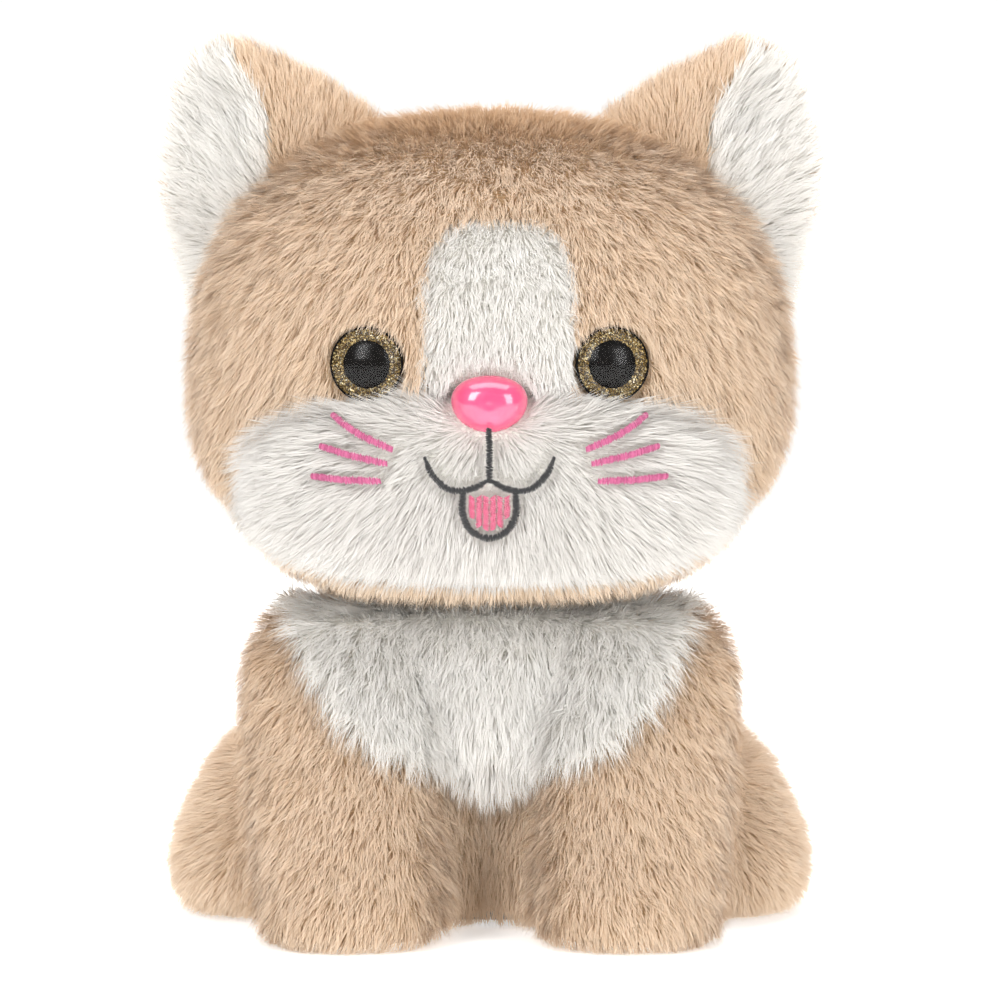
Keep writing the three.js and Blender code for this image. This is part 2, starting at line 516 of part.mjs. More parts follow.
// Ears: a fur cup with a white lining, open forward and outward, leaning away from the crown.
function ear(sign, reachU, reachW, reachV, shift) {
  const geometry = new THREE.SphereGeometry(1, 18, 10);
  geometry.scale(reachU, reachW, reachV).translate(0, shift, 0);
  const tip = new THREE.Vector3(-0.38 * -sign, 0.06, 0.92).normalize();
  const open = new THREE.Vector3(0.62 * sign, -0.78, 0.05);
  open.addScaledVector(tip, -open.dot(tip)).normalize();
  const inward = open.clone().negate();
  const along = new THREE.Vector3().crossVectors(inward, tip);
  geometry.applyMatrix4(new THREE.Matrix4().makeBasis(along, inward, tip));
  return solidOf(geometry.translate(59 * sign, 10, 203));
}
SIDES.forEach(([name, sign]) => {
  const mouth = ear(sign, 60, 60, 60, -54);
  const outer = cut(ear(sign, 37, 21, 39, 0), ear(sign, 32, 17, 35, -1), mouth, headAround);
  const lining = cut(ear(sign, 31.6, 16.6, 34.6, -1), ear(sign, 28.5, 13.5, 31.5, -2), mouth, headAround);
  add(`ear_${name}_outer`, largest(outer), 'tanPlush');
  add(`ear_${name}_lining`, largest(lining), 'whitePlush');
});

// ---------------------------------------------------------------- embroidery on the muzzle
const skinLow = pillow(MUZZLE, GAP).add(headAround);
const skinHigh = pillow(MUZZLE, 1.7).add(pillow(HEAD, 1.7));
const stitched = skinHigh.subtract(skinLow);

// A stroke of thread: a line of [x, z] points with a width, and the solid cut where it lies on the face.
function stroke(points, width) {
  const curve = new THREE.CatmullRomCurve3(points.map(([x, z]) => new THREE.Vector3(x, 0, z)));
  const steps = (points.length - 1) * 3;
  const rims = [[], []];
  for (let k = 0; k <= steps; k += 1) {
    const p = curve.getPoint(k / steps);
    const t = curve.getTangent(k / steps);
    rims[0].push(new THREE.Vector2(p.x - (t.z * width) / 2, p.z + (t.x * width) / 2));
    rims[1].unshift(new THREE.Vector2(p.x + (t.z * width) / 2, p.z - (t.x * width) / 2));
  }
  return plateY(new THREE.Shape([...rims[0], ...rims[1]]), -90, -30);
}
const WHISKERS = [[[42, 143], [25.5, 135]], [[44.5, 135], [27.5, 130.5]], [[46.5, 126.8], [29, 126]]];
SIDES.forEach(([name, sign]) => WHISKERS.forEach(([a, b], i) => {
  const line = [a, [(a[0] + b[0]) / 2, (a[1] + b[1]) / 2 - 0.3], b].map(([x, z]) => [x * sign, z]);
  add(`whisker_${name}_${i + 1}`, largest(stroke(line, 2).intersect(stitched)), 'stitchPink');
}));

const smile = (sign) => [[16.6, 131.6], [13, 126.6], [8, 124.1], [3.4, 124.6], [0, 126.8]]
  .map(([x, z]) => [x * sign, z]);
const LIP = [[-6.6, 124], [-6, 116.5], [0, 112.4], [6, 116.5], [6.6, 124]];
const mouth = join(
  stroke([[0, 138], [0, 132], [0, 126]], 2), stroke(smile(1), 2), stroke(smile(-1), 2), stroke(LIP, 2));
add('mouth_stitch', largest(mouth.intersect(stitched)), 'stitchBlack');
const inLip = [[-5.2, 122.9], [-4.8, 117.4], [0, 113.9], [4.8, 117.4], [5.2, 122.9]];
const patch = plateY(new THREE.Shape(inLip.map(([x, z]) => new THREE.Vector2(x, z))), -90, -30);
add('tongue_patch', largest(patch.intersect(stitched)), 'tongue');

export default kitten;
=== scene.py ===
# %% [markdown]
# # A sitting plush kitten with a nodding head
# The CAD frame holds every piece at its place and its real size. This lesson sews the kitten's covers over
# that frame, stuffs them, grows their pile, and embroiders the face. Hard pieces keep their CAD shape and
# get a moulded, drawn or turned finish. Lengths are written in millimetres and turned to metres once.

# %% Load the frame
import json
import math

import bmesh
import bpy
import numpy as np
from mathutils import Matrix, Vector
from mathutils.bvhtree import BVHTree


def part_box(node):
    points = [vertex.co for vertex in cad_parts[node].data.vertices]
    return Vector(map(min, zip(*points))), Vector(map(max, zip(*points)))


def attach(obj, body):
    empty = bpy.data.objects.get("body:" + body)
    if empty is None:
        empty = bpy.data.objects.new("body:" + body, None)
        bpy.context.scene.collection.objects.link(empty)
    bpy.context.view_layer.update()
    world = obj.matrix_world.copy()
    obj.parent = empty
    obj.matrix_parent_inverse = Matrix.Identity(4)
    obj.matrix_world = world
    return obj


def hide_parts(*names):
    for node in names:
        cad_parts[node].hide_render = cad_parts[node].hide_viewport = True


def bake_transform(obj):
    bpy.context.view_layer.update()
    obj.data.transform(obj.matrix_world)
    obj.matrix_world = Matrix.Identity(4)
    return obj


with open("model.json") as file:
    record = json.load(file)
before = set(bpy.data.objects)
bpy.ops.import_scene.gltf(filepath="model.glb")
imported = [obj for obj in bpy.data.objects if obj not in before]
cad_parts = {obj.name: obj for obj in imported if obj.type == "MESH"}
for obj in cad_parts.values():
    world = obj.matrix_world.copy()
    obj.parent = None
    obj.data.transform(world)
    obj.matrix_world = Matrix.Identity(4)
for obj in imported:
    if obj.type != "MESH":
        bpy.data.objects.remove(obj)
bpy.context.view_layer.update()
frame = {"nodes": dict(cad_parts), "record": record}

MM = 0.001

# %% [markdown]
# A render needs a camera before anything can be judged. A long lens from a little over a metre away keeps the
# face undistorted, as a product picture does. The light is a white room: big soft panels in front and above,
# and a pale sweep that runs from under the kitten up behind it.

# %% Camera
CAMERA_AWAY, CAMERA_RISE = 1150 * MM, math.radians(4.0)
AIM = Vector((2.8 * MM, 0, 116.5 * MM))


def make_camera():
    camera = bpy.data.objects.new("camera", bpy.data.cameras.new("camera"))
    bpy.context.scene.collection.objects.link(camera)
    back = Vector((0, -math.cos(CAMERA_RISE), math.sin(CAMERA_RISE)))
    camera.location = AIM + back * CAMERA_AWAY
    camera.rotation_euler = (-back).to_track_quat("-Z", "Y").to_euler()
    camera.data.lens = 147.8
    camera.data.sensor_width = 36
    camera.data.clip_start, camera.data.clip_end = 0.05, 20
    bpy.context.scene.camera = camera
    bpy.context.scene.view_settings.view_transform = "Standard"     # plain sRGB, so that white stays white
    return camera


make_camera()
print("camera", [round(v, 3) for v in bpy.context.scene.camera.location])

# %% [markdown]
# Every colour is written as the hex value that a painter would mix, and one function turns it to the linear
# light that the shader works in. One more function adds a node with its settings and its links, and every
# material and every Geometry Nodes tree below is built with it.

# %% Colour and node helpers


def linear(hex_colour):
    """The linear RGBA of an sRGB hex colour."""
    channels = [int(hex_colour[i:i + 2], 16) / 255 for i in (1, 3, 5)]
    return [c / 12.92 if c <= 0.04045 else ((c + 0.055) / 1.055) ** 2.4 for c in channels] + [1.0]


def add_node(tree, kind, inputs=None, **settings):
    """Adds a node, sets its properties, and fills its inputs: a socket is linked, anything else is a value."""
    node = tree.nodes.new(kind)
    for name, value in settings.items():
        setattr(node, name, value)
    for key, value in (inputs or {}).items():
        if isinstance(value, bpy.types.NodeSocket):
            tree.links.new(value, node.inputs[key])
        else:
            node.inputs[key].default_value = value
    return node


def new_material(name, **shader):
    """A material with one Principled shader, whose constant values are set on its own sockets."""
    material = bpy.data.materials.new(name)
    material.use_nodes = True
    tree = material.node_tree
    principled = tree.nodes["Principled BSDF"]
    for key, value in shader.items():
        principled.inputs[key.replace("_", " ")].default_value = value
    return material, tree, principled


def object_noise(tree, size_mm, detail=3.0, rough=0.55, stretch=(1, 1, 1)):
    """Noise in object space whose blobs are about size_mm across."""
    place = add_node(tree, "ShaderNodeTexCoord").outputs["Object"]
    scaled = add_node(tree, "ShaderNodeMapping", {"Vector": place, "Scale": stretch}).outputs[0]
    return add_node(tree, "ShaderNodeTexNoise", {
        "Vector": scaled, "Scale": 1 / (size_mm * MM), "Detail": detail, "Roughness": rough}).outputs["Fac"]


def ramp(tree, fac, stops):
    """A colour ramp over fac, with [position, hex] stops."""
    node = add_node(tree, "ShaderNodeValToRGB", {"Fac": fac})
    band = node.color_ramp
    for spare in list(band.elements)[2:]:
        band.elements.remove(spare)
    for i, (place, colour) in enumerate(stops):
        stop = band.elements[i] if i < 2 else band.elements.new(place)
        stop.position = place
        stop.color = linear(colour)
    return node.outputs["Color"]


def bump(tree, principled, height, depth_mm, strength=1.0):
    node = add_node(tree, "ShaderNodeBump", {"Height": height, "Distance": depth_mm * MM, "Strength": strength})
    tree.links.new(node.outputs[0], principled.inputs["Normal"])


def level(tree, fac, low, high):
    """fac, from 0..1 to low..high."""
    return add_node(tree, "ShaderNodeMapRange", {"Value": fac, "To Min": low, "To Max": high}).outputs[0]


# %% Pale sweep and soft studio light


def make_sweep():
    """A floor that curves up into a backdrop."""
    floor_end, rise_radius, height, half_width = 1.6, 0.8, 3.0, 4.0
    profile = [(-2.5, 0), (floor_end, 0)]
    for step in range(1, 13):
        turn = math.radians(90 * step / 12)
        profile.append((floor_end + rise_radius * math.sin(turn), rise_radius * (1 - math.cos(turn))))
    profile.append((floor_end + rise_radius, height))
    points = [(x, y, z) for y, z in profile for x in (-half_width, half_width)]
    faces = [(2 * i, 2 * i + 1, 2 * i + 3, 2 * i + 2) for i in range(len(profile) - 1)]
    mesh = bpy.data.meshes.new("sweep")
    mesh.from_pydata(points, [], faces)
    mesh.shade_smooth()
    sweep = bpy.data.objects.new("sweep", mesh)
    bpy.context.scene.collection.objects.link(sweep)
    material, tree, principled = new_material(
        "paper_sweep", Roughness=0.9, Specular_IOR_Level=0.2, Emission_Strength=0.5)
    tone = ramp(tree, object_noise(tree, 400), [(0.3, "#F7F7F6"), (0.7, "#FCFCFB")])
    tree.links.new(tone, principled.inputs["Base Color"])
    mesh.materials.append(material)


def soft_panel(name, place, size, power, colour="#FFFFFF"):
    """A rectangular softbox that looks at the kitten's middle."""
    light = bpy.data.lights.new(name, "AREA")
    light.shape, light.size, light.size_y = "RECTANGLE", *size
    light.energy = power
    light.color = linear(colour)[:3]
    panel = bpy.data.objects.new(name, light)
    panel.location = place
    panel.rotation_euler = (Vector((0, 0, 0.13)) - Vector(place)).to_track_quat("-Z", "Y").to_euler()
    bpy.context.scene.collection.objects.link(panel)


def make_light():
    soft_panel("key_panel", (-0.75, -1.05, 0.85), (0.6, 0.9), 15.5)
    soft_panel("fill_panel", (0.9, -0.95, 0.55), (0.6, 0.9), 11)
    soft_panel("top_panel", (0.0, 0.15, 1.3), (1.4, 1.2), 20)
    soft_panel("back_panel", (0.0, 1.2, 0.7), (1.6, 0.8), 8)
    world = bpy.data.worlds.new("white_room")
    bpy.context.scene.world = world
    world.use_nodes = True
    sky = world.node_tree.nodes["Background"]
    way = add_node(world.node_tree, "ShaderNodeTexCoord").outputs["Generated"]
    depth = add_node(world.node_tree, "ShaderNodeSeparateXYZ", {0: way}).outputs["Y"]
    back = add_node(world.node_tree, "ShaderNodeMapRange", {
        "Value": depth, "From Min": -0.6, "From Max": 0.4, "To Min": 0.12, "To Max": 0.75}).outputs[0]
    world.node_tree.links.new(back, sky.inputs["Strength"])


make_sweep()
make_light()
print("stage and light are in place")

# %% [markdown]
# The covers follow rounded forms. The head is a squarish pillow with a wider, lower pillow for the muzzle and two
# cheeks that swell beside the mouth. A star-shaped form like this is easy to make: shoot a ray from the middle
# in every direction and find where the blended pillows end. Sizes come from the CAD boxes, less the
# depth that the pile takes.

# %% Rounded forms
HEAD_SINK = 1.0          # the head's cloth starts this far inside its CAD surface, in mm


def corners(node):
    """The CAD box of a node, in mm, as two arrays."""
    low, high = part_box(node)
    return np.array(low) / MM, np.array(high) / MM


def pillow_value(points, middle, reach_low, reach_high, power):
    """1 on the pillow's surface, less inside. reach_low and reach_high are its sizes towards - and +."""
    offset = points - middle
    reach = np.where(offset < 0, reach_low, reach_high)
    return (np.abs(offset / reach) ** power).sum(axis=1) ** (1 / power)


def smooth_least(values, softness):
    """The least of several arrays, rounded where they cross."""
    stack = np.stack(values)
    return -softness * np.log(np.exp(-stack / softness).sum(axis=0))


head_low, head_high = corners("head_plush")
_, muzzle_high = corners("muzzle_panel")
HEAD_MIDDLE = np.array([0.0, 0.0, 150.0])
MUZZLE_MIDDLE = np.array([0.0, -28.0, 124.0])
CHEEK_MIDDLE = np.array([25.0, -40.0, 121.0])


def head_value(points):
    head = pillow_value(points, HEAD_MIDDLE, HEAD_MIDDLE - head_low - HEAD_SINK,
                        head_high - HEAD_MIDDLE - HEAD_SINK, 2.45)
    muzzle_reach = np.array([muzzle_high[0], 36.0, 30.0]) - HEAD_SINK
    muzzle = pillow_value(points, MUZZLE_MIDDLE, muzzle_reach, muzzle_reach * [1, 0.7, 0.9], 2.8)
    folded = np.column_stack((np.abs(points[:, 0]), points[:, 1:]))
    cheek = pillow_value(folded, CHEEK_MIDDLE, np.array([27.0, 24.0, 24.0]), np.array([30.0, 24.0, 23.0]), 2.1)
    return smooth_least([head, muzzle, cheek], 0.035)


def star_form(value, middle, cuts):
    """A ball of even squares pushed out from its middle until value says 1. Returns points in mm and faces."""
    ball = bmesh.new()
    bmesh.ops.create_cube(ball, size=2)
    bmesh.ops.subdivide_edges(ball, edges=ball.edges, cuts=cuts, use_grid_fill=True)
    ways = np.tan(np.array([v.co for v in ball.verts]) * math.pi / 4)
    ways /= np.linalg.norm(ways, axis=1, keepdims=True)
    faces = [[v.index for v in f.verts] for f in ball.faces]
    ball.free()
    near, far = np.zeros(len(ways)), np.full(len(ways), 130.0)
    for _ in range(26):
        half = (near + far) / 2
        inside = value(middle + ways * half[:, None]) < 1
        near, far = np.where(inside, half, near), np.where(inside, far, half)
    return middle + ways * near[:, None], faces


def mesh_object(name, points_mm, faces):
    mesh = bpy.data.meshes.new(name)
    mesh.from_pydata((np.asarray(points_mm) * MM).tolist(), [], faces)
    mesh.shade_smooth()
    thing = bpy.data.objects.new(name, mesh)
    bpy.context.scene.collection.objects.link(thing)
    return thing


head_points, head_faces = star_form(head_value, np.array([0.0, -4.0, 145.0]), 41)
print("head form:", len(head_points), "points,", [round(v) for v in np.ptp(head_points, axis=0)], "mm")

# %% [markdown]
# Plush is a knit cloth with a standing pile of fine fibre. What the eye reads is the fibre, so the pile is real
# geometry: thousands of thin tapered blades rooted on the cloth. Geometry Nodes suit this, because one small
# tree can scatter the roots, turn each blade between the cloth's normal and the way the nap is brushed,
# gather the blades into tufts with noise, and shorten the ones that would cross an eye or a stitch.
# Each cloth carries three attributes that steer it: mask (is there pile here), nap (which way it is brushed)
# and pile (how long it is, as a share).

# %% The pile as a Geometry Nodes tree
PILE_INPUTS = (
    ("Cloth", "NodeSocketGeometry", None), ("Backing", "NodeSocketObject", None),
    ("Keep clear", "NodeSocketObject", None), ("Fibre", "NodeSocketMaterial", None),
    ("Length", "NodeSocketFloat", 8 * MM), ("Width", "NodeSocketFloat", 0.22 * MM),
    ("Density", "NodeSocketFloat", 3.6 / MM ** 2), ("Lean", "NodeSocketFloat", 0.75),
    ("Droop", "NodeSocketFloat", 0.25), ("Tuft size", "NodeSocketFloat", 4 * MM),
    ("Tuft push", "NodeSocketFloat", 0.9), ("Stray", "NodeSocketFloat", 0.22), ("Seed", "NodeSocketInt", 1),
)
OWN_SHADING = 0.32        # how much of a blade's own facing is added to that of the cloth below it


def in_use(node):
    """The node's first output that its settings leave in use."""
    return next(socket for socket in node.outputs if socket.enabled)


def tree_with(name, inputs, output):
    tree = bpy.data.node_groups.new(name, "GeometryNodeTree")
    for label, kind, start in inputs:
        socket = tree.interface.new_socket(label, in_out="INPUT", socket_type=kind)
        if start is not None:
            socket.default_value = start
    tree.interface.new_socket(output, in_out="OUTPUT", socket_type="NodeSocketGeometry")
    return tree, add_node(tree, "NodeGroupInput").outputs


def pile_tree():
    tree, given = tree_with("plush_pile", PILE_INPUTS, "Pile")
    mask, nap, pile = (in_use(add_node(tree, "GeometryNodeInputNamedAttribute", {"Name": name}, data_type=kind))
                       for name, kind in (("mask", "FLOAT"), ("nap", "FLOAT_VECTOR"), ("pile", "FLOAT")))
    roots = add_node(tree, "GeometryNodeDistributePointsOnFaces", {
        "Mesh": given["Cloth"], "Seed": given["Seed"], "Density": add_node(
            tree, "ShaderNodeMath", {0: given["Density"], 1: mask}, operation="MULTIPLY").outputs[0]})
    place = add_node(tree, "GeometryNodeInputPosition").outputs[0]
    way = add_node(tree, "ShaderNodeVectorMath", {0: nap, 1: given["Lean"], 2: roots.outputs["Normal"]},
                   operation="MULTIPLY_ADD").outputs[0]
    for share, strength in ((1.0, 1.0), (0.35, 0.8)):
        size = add_node(tree, "ShaderNodeMath", {0: share, 1: given["Tuft size"]}, operation="MULTIPLY").outputs[0]
        scale = add_node(tree, "ShaderNodeMath", {0: 1.0, 1: size}, operation="DIVIDE").outputs[0]
        swirl = add_node(tree, "ShaderNodeTexNoise", {"Vector": place, "Scale": scale, "Detail": 0.0})
        centred = add_node(tree, "ShaderNodeVectorMath", {0: swirl.outputs["Color"], 1: (0.5, 0.5, 0.5)},
                           operation="SUBTRACT").outputs[0]
        push = add_node(tree, "ShaderNodeMath", {0: given["Tuft push"], 1: strength}, operation="MULTIPLY").outputs[0]
        way = add_node(tree, "ShaderNodeVectorMath", {0: centred, 1: push, 2: way},
                       operation="MULTIPLY_ADD").outputs[0]
    stray = in_use(add_node(tree, "FunctionNodeRandomValue", {0: (-1, -1, -1), 1: (1, 1, 1)},
                            data_type="FLOAT_VECTOR"))
    way = add_node(tree, "ShaderNodeVectorMath", {0: stray, 1: given["Stray"], 2: way},
                   operation="MULTIPLY_ADD").outputs[0]
    way = add_node(tree, "ShaderNodeVectorMath", {0: way}, operation="NORMALIZE").outputs[0]

    chance = in_use(add_node(tree, "FunctionNodeRandomValue", {2: 0.7, 3: 1.12}, data_type="FLOAT"))
    reach = add_node(tree, "ShaderNodeMath", {0: chance, 1: pile}, operation="MULTIPLY").outputs[0]
    reach = add_node(tree, "ShaderNodeMath", {0: reach, 1: given["Length"]}, operation="MULTIPLY").outputs[0]
    fitting = add_node(tree, "GeometryNodeObjectInfo", {"Object": given["Keep clear"]}).outputs["Geometry"]
    nearest = 1.0
    for share in (0.0, 0.35, 0.7, 1.0):
        along = add_node(tree, "ShaderNodeMath", {0: reach, 1: share}, operation="MULTIPLY").outputs[0]
        spot = add_node(tree, "ShaderNodeVectorMath", {0: way, 1: along, 2: place},
                        operation="MULTIPLY_ADD").outputs[0]
        near = add_node(tree, "GeometryNodeProximity", {0: fitting, "Sample Position": spot})
        nearest = add_node(tree, "ShaderNodeMath", {0: nearest, 1: near.outputs["Distance"]},
                           operation="MINIMUM").outputs[0]
    cut = add_node(tree, "ShaderNodeMapRange", {
        "Value": nearest, "From Min": 0.3 * MM, "From Max": 2.2 * MM, "To Min": 0.15, "To Max": 1.0}).outputs[0]
    reach = add_node(tree, "ShaderNodeMath", {0: reach, 1: cut}, operation="MULTIPLY").outputs[0]

    blade = add_node(tree, "GeometryNodeMeshGrid", {"Size X": 1, "Size Y": 1, "Vertices X": 2, "Vertices Y": 3})
    corner = add_node(tree, "ShaderNodeSeparateXYZ", {0: place}).outputs
    up = add_node(tree, "ShaderNodeMath", {0: corner["Y"], 1: 0.5}, operation="ADD").outputs[0]
    up_squared = add_node(tree, "ShaderNodeMath", {0: up, 1: 2.0}, operation="POWER").outputs[0]
    taper = add_node(tree, "ShaderNodeMath", {0: 1.0, 1: up_squared}, operation="SUBTRACT").outputs[0]
    across = add_node(tree, "ShaderNodeMath", {0: corner["X"], 1: taper}, operation="MULTIPLY").outputs[0]
    across = add_node(tree, "ShaderNodeMath", {0: across, 1: given["Width"]}, operation="MULTIPLY").outputs[0]
    droop = add_node(tree, "ShaderNodeMath", {0: up_squared, 1: given["Droop"]}, operation="MULTIPLY").outputs[0]
    droop = add_node(tree, "ShaderNodeMath", {0: droop, 1: -1.0}, operation="MULTIPLY").outputs[0]
    marked = add_node(tree, "GeometryNodeStoreNamedAttribute", {
        "Geometry": blade.outputs["Mesh"], "Name": "along", "Value": up}, data_type="FLOAT").outputs[0]
    bent = add_node(tree, "GeometryNodeSetPosition", {"Geometry": marked, "Position": add_node(
        tree, "ShaderNodeCombineXYZ", {0: across, 1: droop, 2: up}).outputs[0]}).outputs[0]
    blade = add_node(tree, "GeometryNodeMergeByDistance", {"Geometry": bent, "Distance": 1e-6}).outputs[0]

    turn = add_node(tree, "FunctionNodeAlignRotationToVector", {"Vector": way}, axis="Z").outputs[0]
    turn = add_node(tree, "FunctionNodeAlignRotationToVector", {
        "Rotation": turn, "Vector": roots.outputs["Normal"]}, axis="Y", pivot_axis="Z").outputs[0]
    fibres = add_node(tree, "GeometryNodeInstanceOnPoints", {
        "Points": roots.outputs["Points"], "Instance": blade, "Rotation": turn, "Scale": add_node(
            tree, "ShaderNodeCombineXYZ", {0: 1.0, 1: reach, 2: reach}).outputs[0]}).outputs[0]
    tone = in_use(add_node(tree, "FunctionNodeRandomValue", {2: 0.0, 3: 1.0, "Seed": 7}, data_type="FLOAT"))
    for name, kind, value in (("tone", "FLOAT", tone), ("skin", "FLOAT_VECTOR", roots.outputs["Normal"])):
        fibres = add_node(tree, "GeometryNodeStoreNamedAttribute", {
            "Geometry": fibres, "Name": name, "Value": value}, data_type=kind, domain="INSTANCE").outputs[0]
    fibres = add_node(tree, "GeometryNodeRealizeInstances", {"Geometry": fibres}).outputs[0]
    height = add_node(tree, "ShaderNodeSeparateXYZ", {0: place}).outputs
    lifted = add_node(tree, "ShaderNodeMath", {0: height["Z"], 1: 0.2 * MM}, operation="MAXIMUM").outputs[0]
    fibres = add_node(tree, "GeometryNodeSetPosition", {"Geometry": fibres, "Position": add_node(
        tree, "ShaderNodeCombineXYZ", {0: height["X"], 1: height["Y"], 2: lifted}).outputs[0]}).outputs[0]
    own = add_node(tree, "GeometryNodeInputNormal").outputs[0]
    skin = in_use(add_node(tree, "GeometryNodeInputNamedAttribute", {"Name": "skin"}, data_type="FLOAT_VECTOR"))
    facing = add_node(tree, "ShaderNodeVectorMath", {0: own, 1: skin}, operation="DOT_PRODUCT").outputs["Value"]
    facing = add_node(tree, "ShaderNodeMath", {0: facing}, operation="SIGN").outputs[0]
    facing = add_node(tree, "ShaderNodeMath", {0: facing, 1: OWN_SHADING}, operation="MULTIPLY").outputs[0]
    shading = add_node(tree, "ShaderNodeVectorMath", {0: own, 1: facing, 2: skin},
                       operation="MULTIPLY_ADD").outputs[0]
    shading = add_node(tree, "ShaderNodeVectorMath", {0: shading}, operation="NORMALIZE").outputs[0]
    smooth = add_node(tree, "GeometryNodeSetMeshNormal", {"Mesh": fibres}, mode="FREE")
    smooth.domain = "POINT"
    tree.links.new(shading, smooth.inputs["Custom Normal"])
    fibres = smooth.outputs[0]
    fibres = add_node(tree, "GeometryNodeSetMaterial", {"Geometry": fibres, "Material": given["Fibre"]}).outputs[0]
    backing = add_node(tree, "GeometryNodeObjectInfo", {"Object": given["Backing"]}).outputs["Geometry"]
    both = add_node(tree, "GeometryNodeJoinGeometry")
    tree.links.new(fibres, both.inputs[0])
    tree.links.new(backing, both.inputs[0])
    add_node(tree, "NodeGroupOutput", {0: both.outputs[0]})
    return tree


PILE = pile_tree()
print("pile tree:", len(PILE.nodes), "nodes")

# %% [markdown]
# A modifier shows its inputs under identifiers, so a tree is run with a small function that looks each name up.
# The result is copied to a plain mesh.

# %% Run a tree and keep its result


def run_tree(thing, tree, **values):
    """The plain mesh that a tree makes from thing. Underscores in the names stand for spaces."""
    modifier = thing.modifiers.new(tree.name, "NODES")
    modifier.node_group = tree
    ids = {item.name: item.identifier for item in tree.interface.items_tree if item.in_out == "INPUT"}
    for name, value in values.items():
        modifier[ids[name.replace("_", " ")]] = value
    bpy.context.view_layer.update()
    graph = bpy.context.evaluated_depsgraph_get()
    mesh = bpy.data.meshes.new_from_object(thing.evaluated_get(graph), depsgraph=graph)
    thing.modifiers.remove(modifier)
    return mesh


def evaluated(thing):
    """The plain mesh of thing with its modifiers applied."""
    graph = bpy.context.evaluated_depsgraph_get()
    return bpy.data.meshes.new_from_object(thing.evaluated_get(graph), depsgraph=graph)


def discard(*things):
    for thing in things:
        bpy.data.objects.remove(thing)


def vertex_array(mesh, normals=False):
    """The vertices of a mesh in mm, or their normals."""
    flat = np.empty(len(mesh.vertices) * 3, np.float32)
    (mesh.vertex_normals if normals else mesh.vertices).foreach_get("vector" if normals else "co", flat)
    return flat.reshape(-1, 3).astype(float) / (1 if normals else MM)


def paint(mesh, name, values):
    """Stores one value or one vector for each vertex."""
    kind, field = ("FLOAT", "value") if np.ndim(values) == 1 else ("FLOAT_VECTOR", "vector")
    attribute = mesh.attributes.get(name) or mesh.attributes.new(name, kind, "POINT")
    attribute.data.foreach_set(field, np.asarray(values, np.float32).ravel())


print("helpers are ready")

# %% [markdown]
# Plush fibre is a fine polyester, glossy at the tip. Its colour carries painted shade: darker and a little redder
# near the root, where light has been through more fibres, and paler at the tip. The material reads how far along
# its blade a point is, and shifts each blade's tone a little, so that a tuft is never one flat colour. A broad noise
# stands for the way the pile has been handled.

# %% Fibre, cloth and thread materials


def fibre_material(name, stops, shift):
    """stops run from root to tip, and shift is how far a blade's own tone moves it."""
    material, tree, principled = new_material(
        name, Roughness=0.8, Specular_IOR_Level=0.15, Sheen_Weight=0.3, Sheen_Roughness=0.5)
    along = add_node(tree, "ShaderNodeAttribute", attribute_name="along").outputs["Fac"]
    tone = add_node(tree, "ShaderNodeAttribute", attribute_name="tone").outputs["Fac"]
    patch = level(tree, object_noise(tree, 18, detail=2.0), -0.5, 0.5)
    mixed = add_node(tree, "ShaderNodeMath", {0: tone, 1: patch}, operation="ADD").outputs[0]
    moved = add_node(tree, "ShaderNodeMath", {0: mixed, 1: 0.5}, operation="SUBTRACT").outputs[0]
    moved = add_node(tree, "ShaderNodeMath", {0: moved, 1: shift, 2: along}, operation="MULTIPLY_ADD").outputs[0]
    tree.links.new(ramp(tree, moved, stops), principled.inputs["Base Color"])
    return material


# The darker root end of each ramp is painted shade.
tan_fibre = fibre_material("tan_polyester_pile", [(0.0, "#CDB08F"), (0.45, "#E2C9AC"), (1.0, "#F0DCC6")], 0.3)
white_fibre = fibre_material("white_polyester_pile", [(0.0, "#DEDAD2"), (0.45, "#EEEBE6"), (1.0, "#F6F4F0")], 0.3)


def knit_material(name, light, dark):
    """The knit back of plush: rows of 0.9 mm loops."""
    material, tree, principled = new_material(name, Roughness=0.95, Specular_IOR_Level=0.15, Sheen_Weight=0.3)
    place = add_node(tree, "ShaderNodeTexCoord").outputs["Object"]
    rows = add_node(tree, "ShaderNodeTexWave", {
        "Vector": place, "Scale": math.tau / (0.9 * MM) / 20, "Distortion": 0.6, "Detail": 1.0}, bands_direction="Z")
    tree.links.new(ramp(tree, rows.outputs["Fac"], [(0.2, dark), (0.8, light)]), principled.inputs["Base Color"])
    bump(tree, principled, rows.outputs["Fac"], 0.1)
    return material


tan_knit = knit_material("tan_knit_backing", "#CDB08C", "#C0A27E")
white_knit = knit_material("white_knit_backing", "#E9E6DE", "#E1DED6")
# The muzzle's pile is the white pile painted a little greyer: painted shade that tones down the extra light the muzzle
# catches where it faces down and forward.
muzzle_shaded_fibre = fibre_material("white_pile_painted_shade", [(0.0, "#CFCBC4"), (0.45, "#DDD9D4"), (1.0, "#E6E3DE")], 0.2)
print("materials:", [m.name for m in (tan_fibre, white_fibre, tan_knit, white_knit)])

# %% [markdown]
# A stuffed cover starts from a simple form: a copy of its CAD solid, remeshed to even squares, sunk by the depth
# that the pile will take. Then it is filled: Blender's Cloth presses it out from inside for 20 frames with
# gravity off, which rounds it between its seams as stuffing does. A cap on how far a point may move keeps it in
# its own space.

# %% Stuff a cover


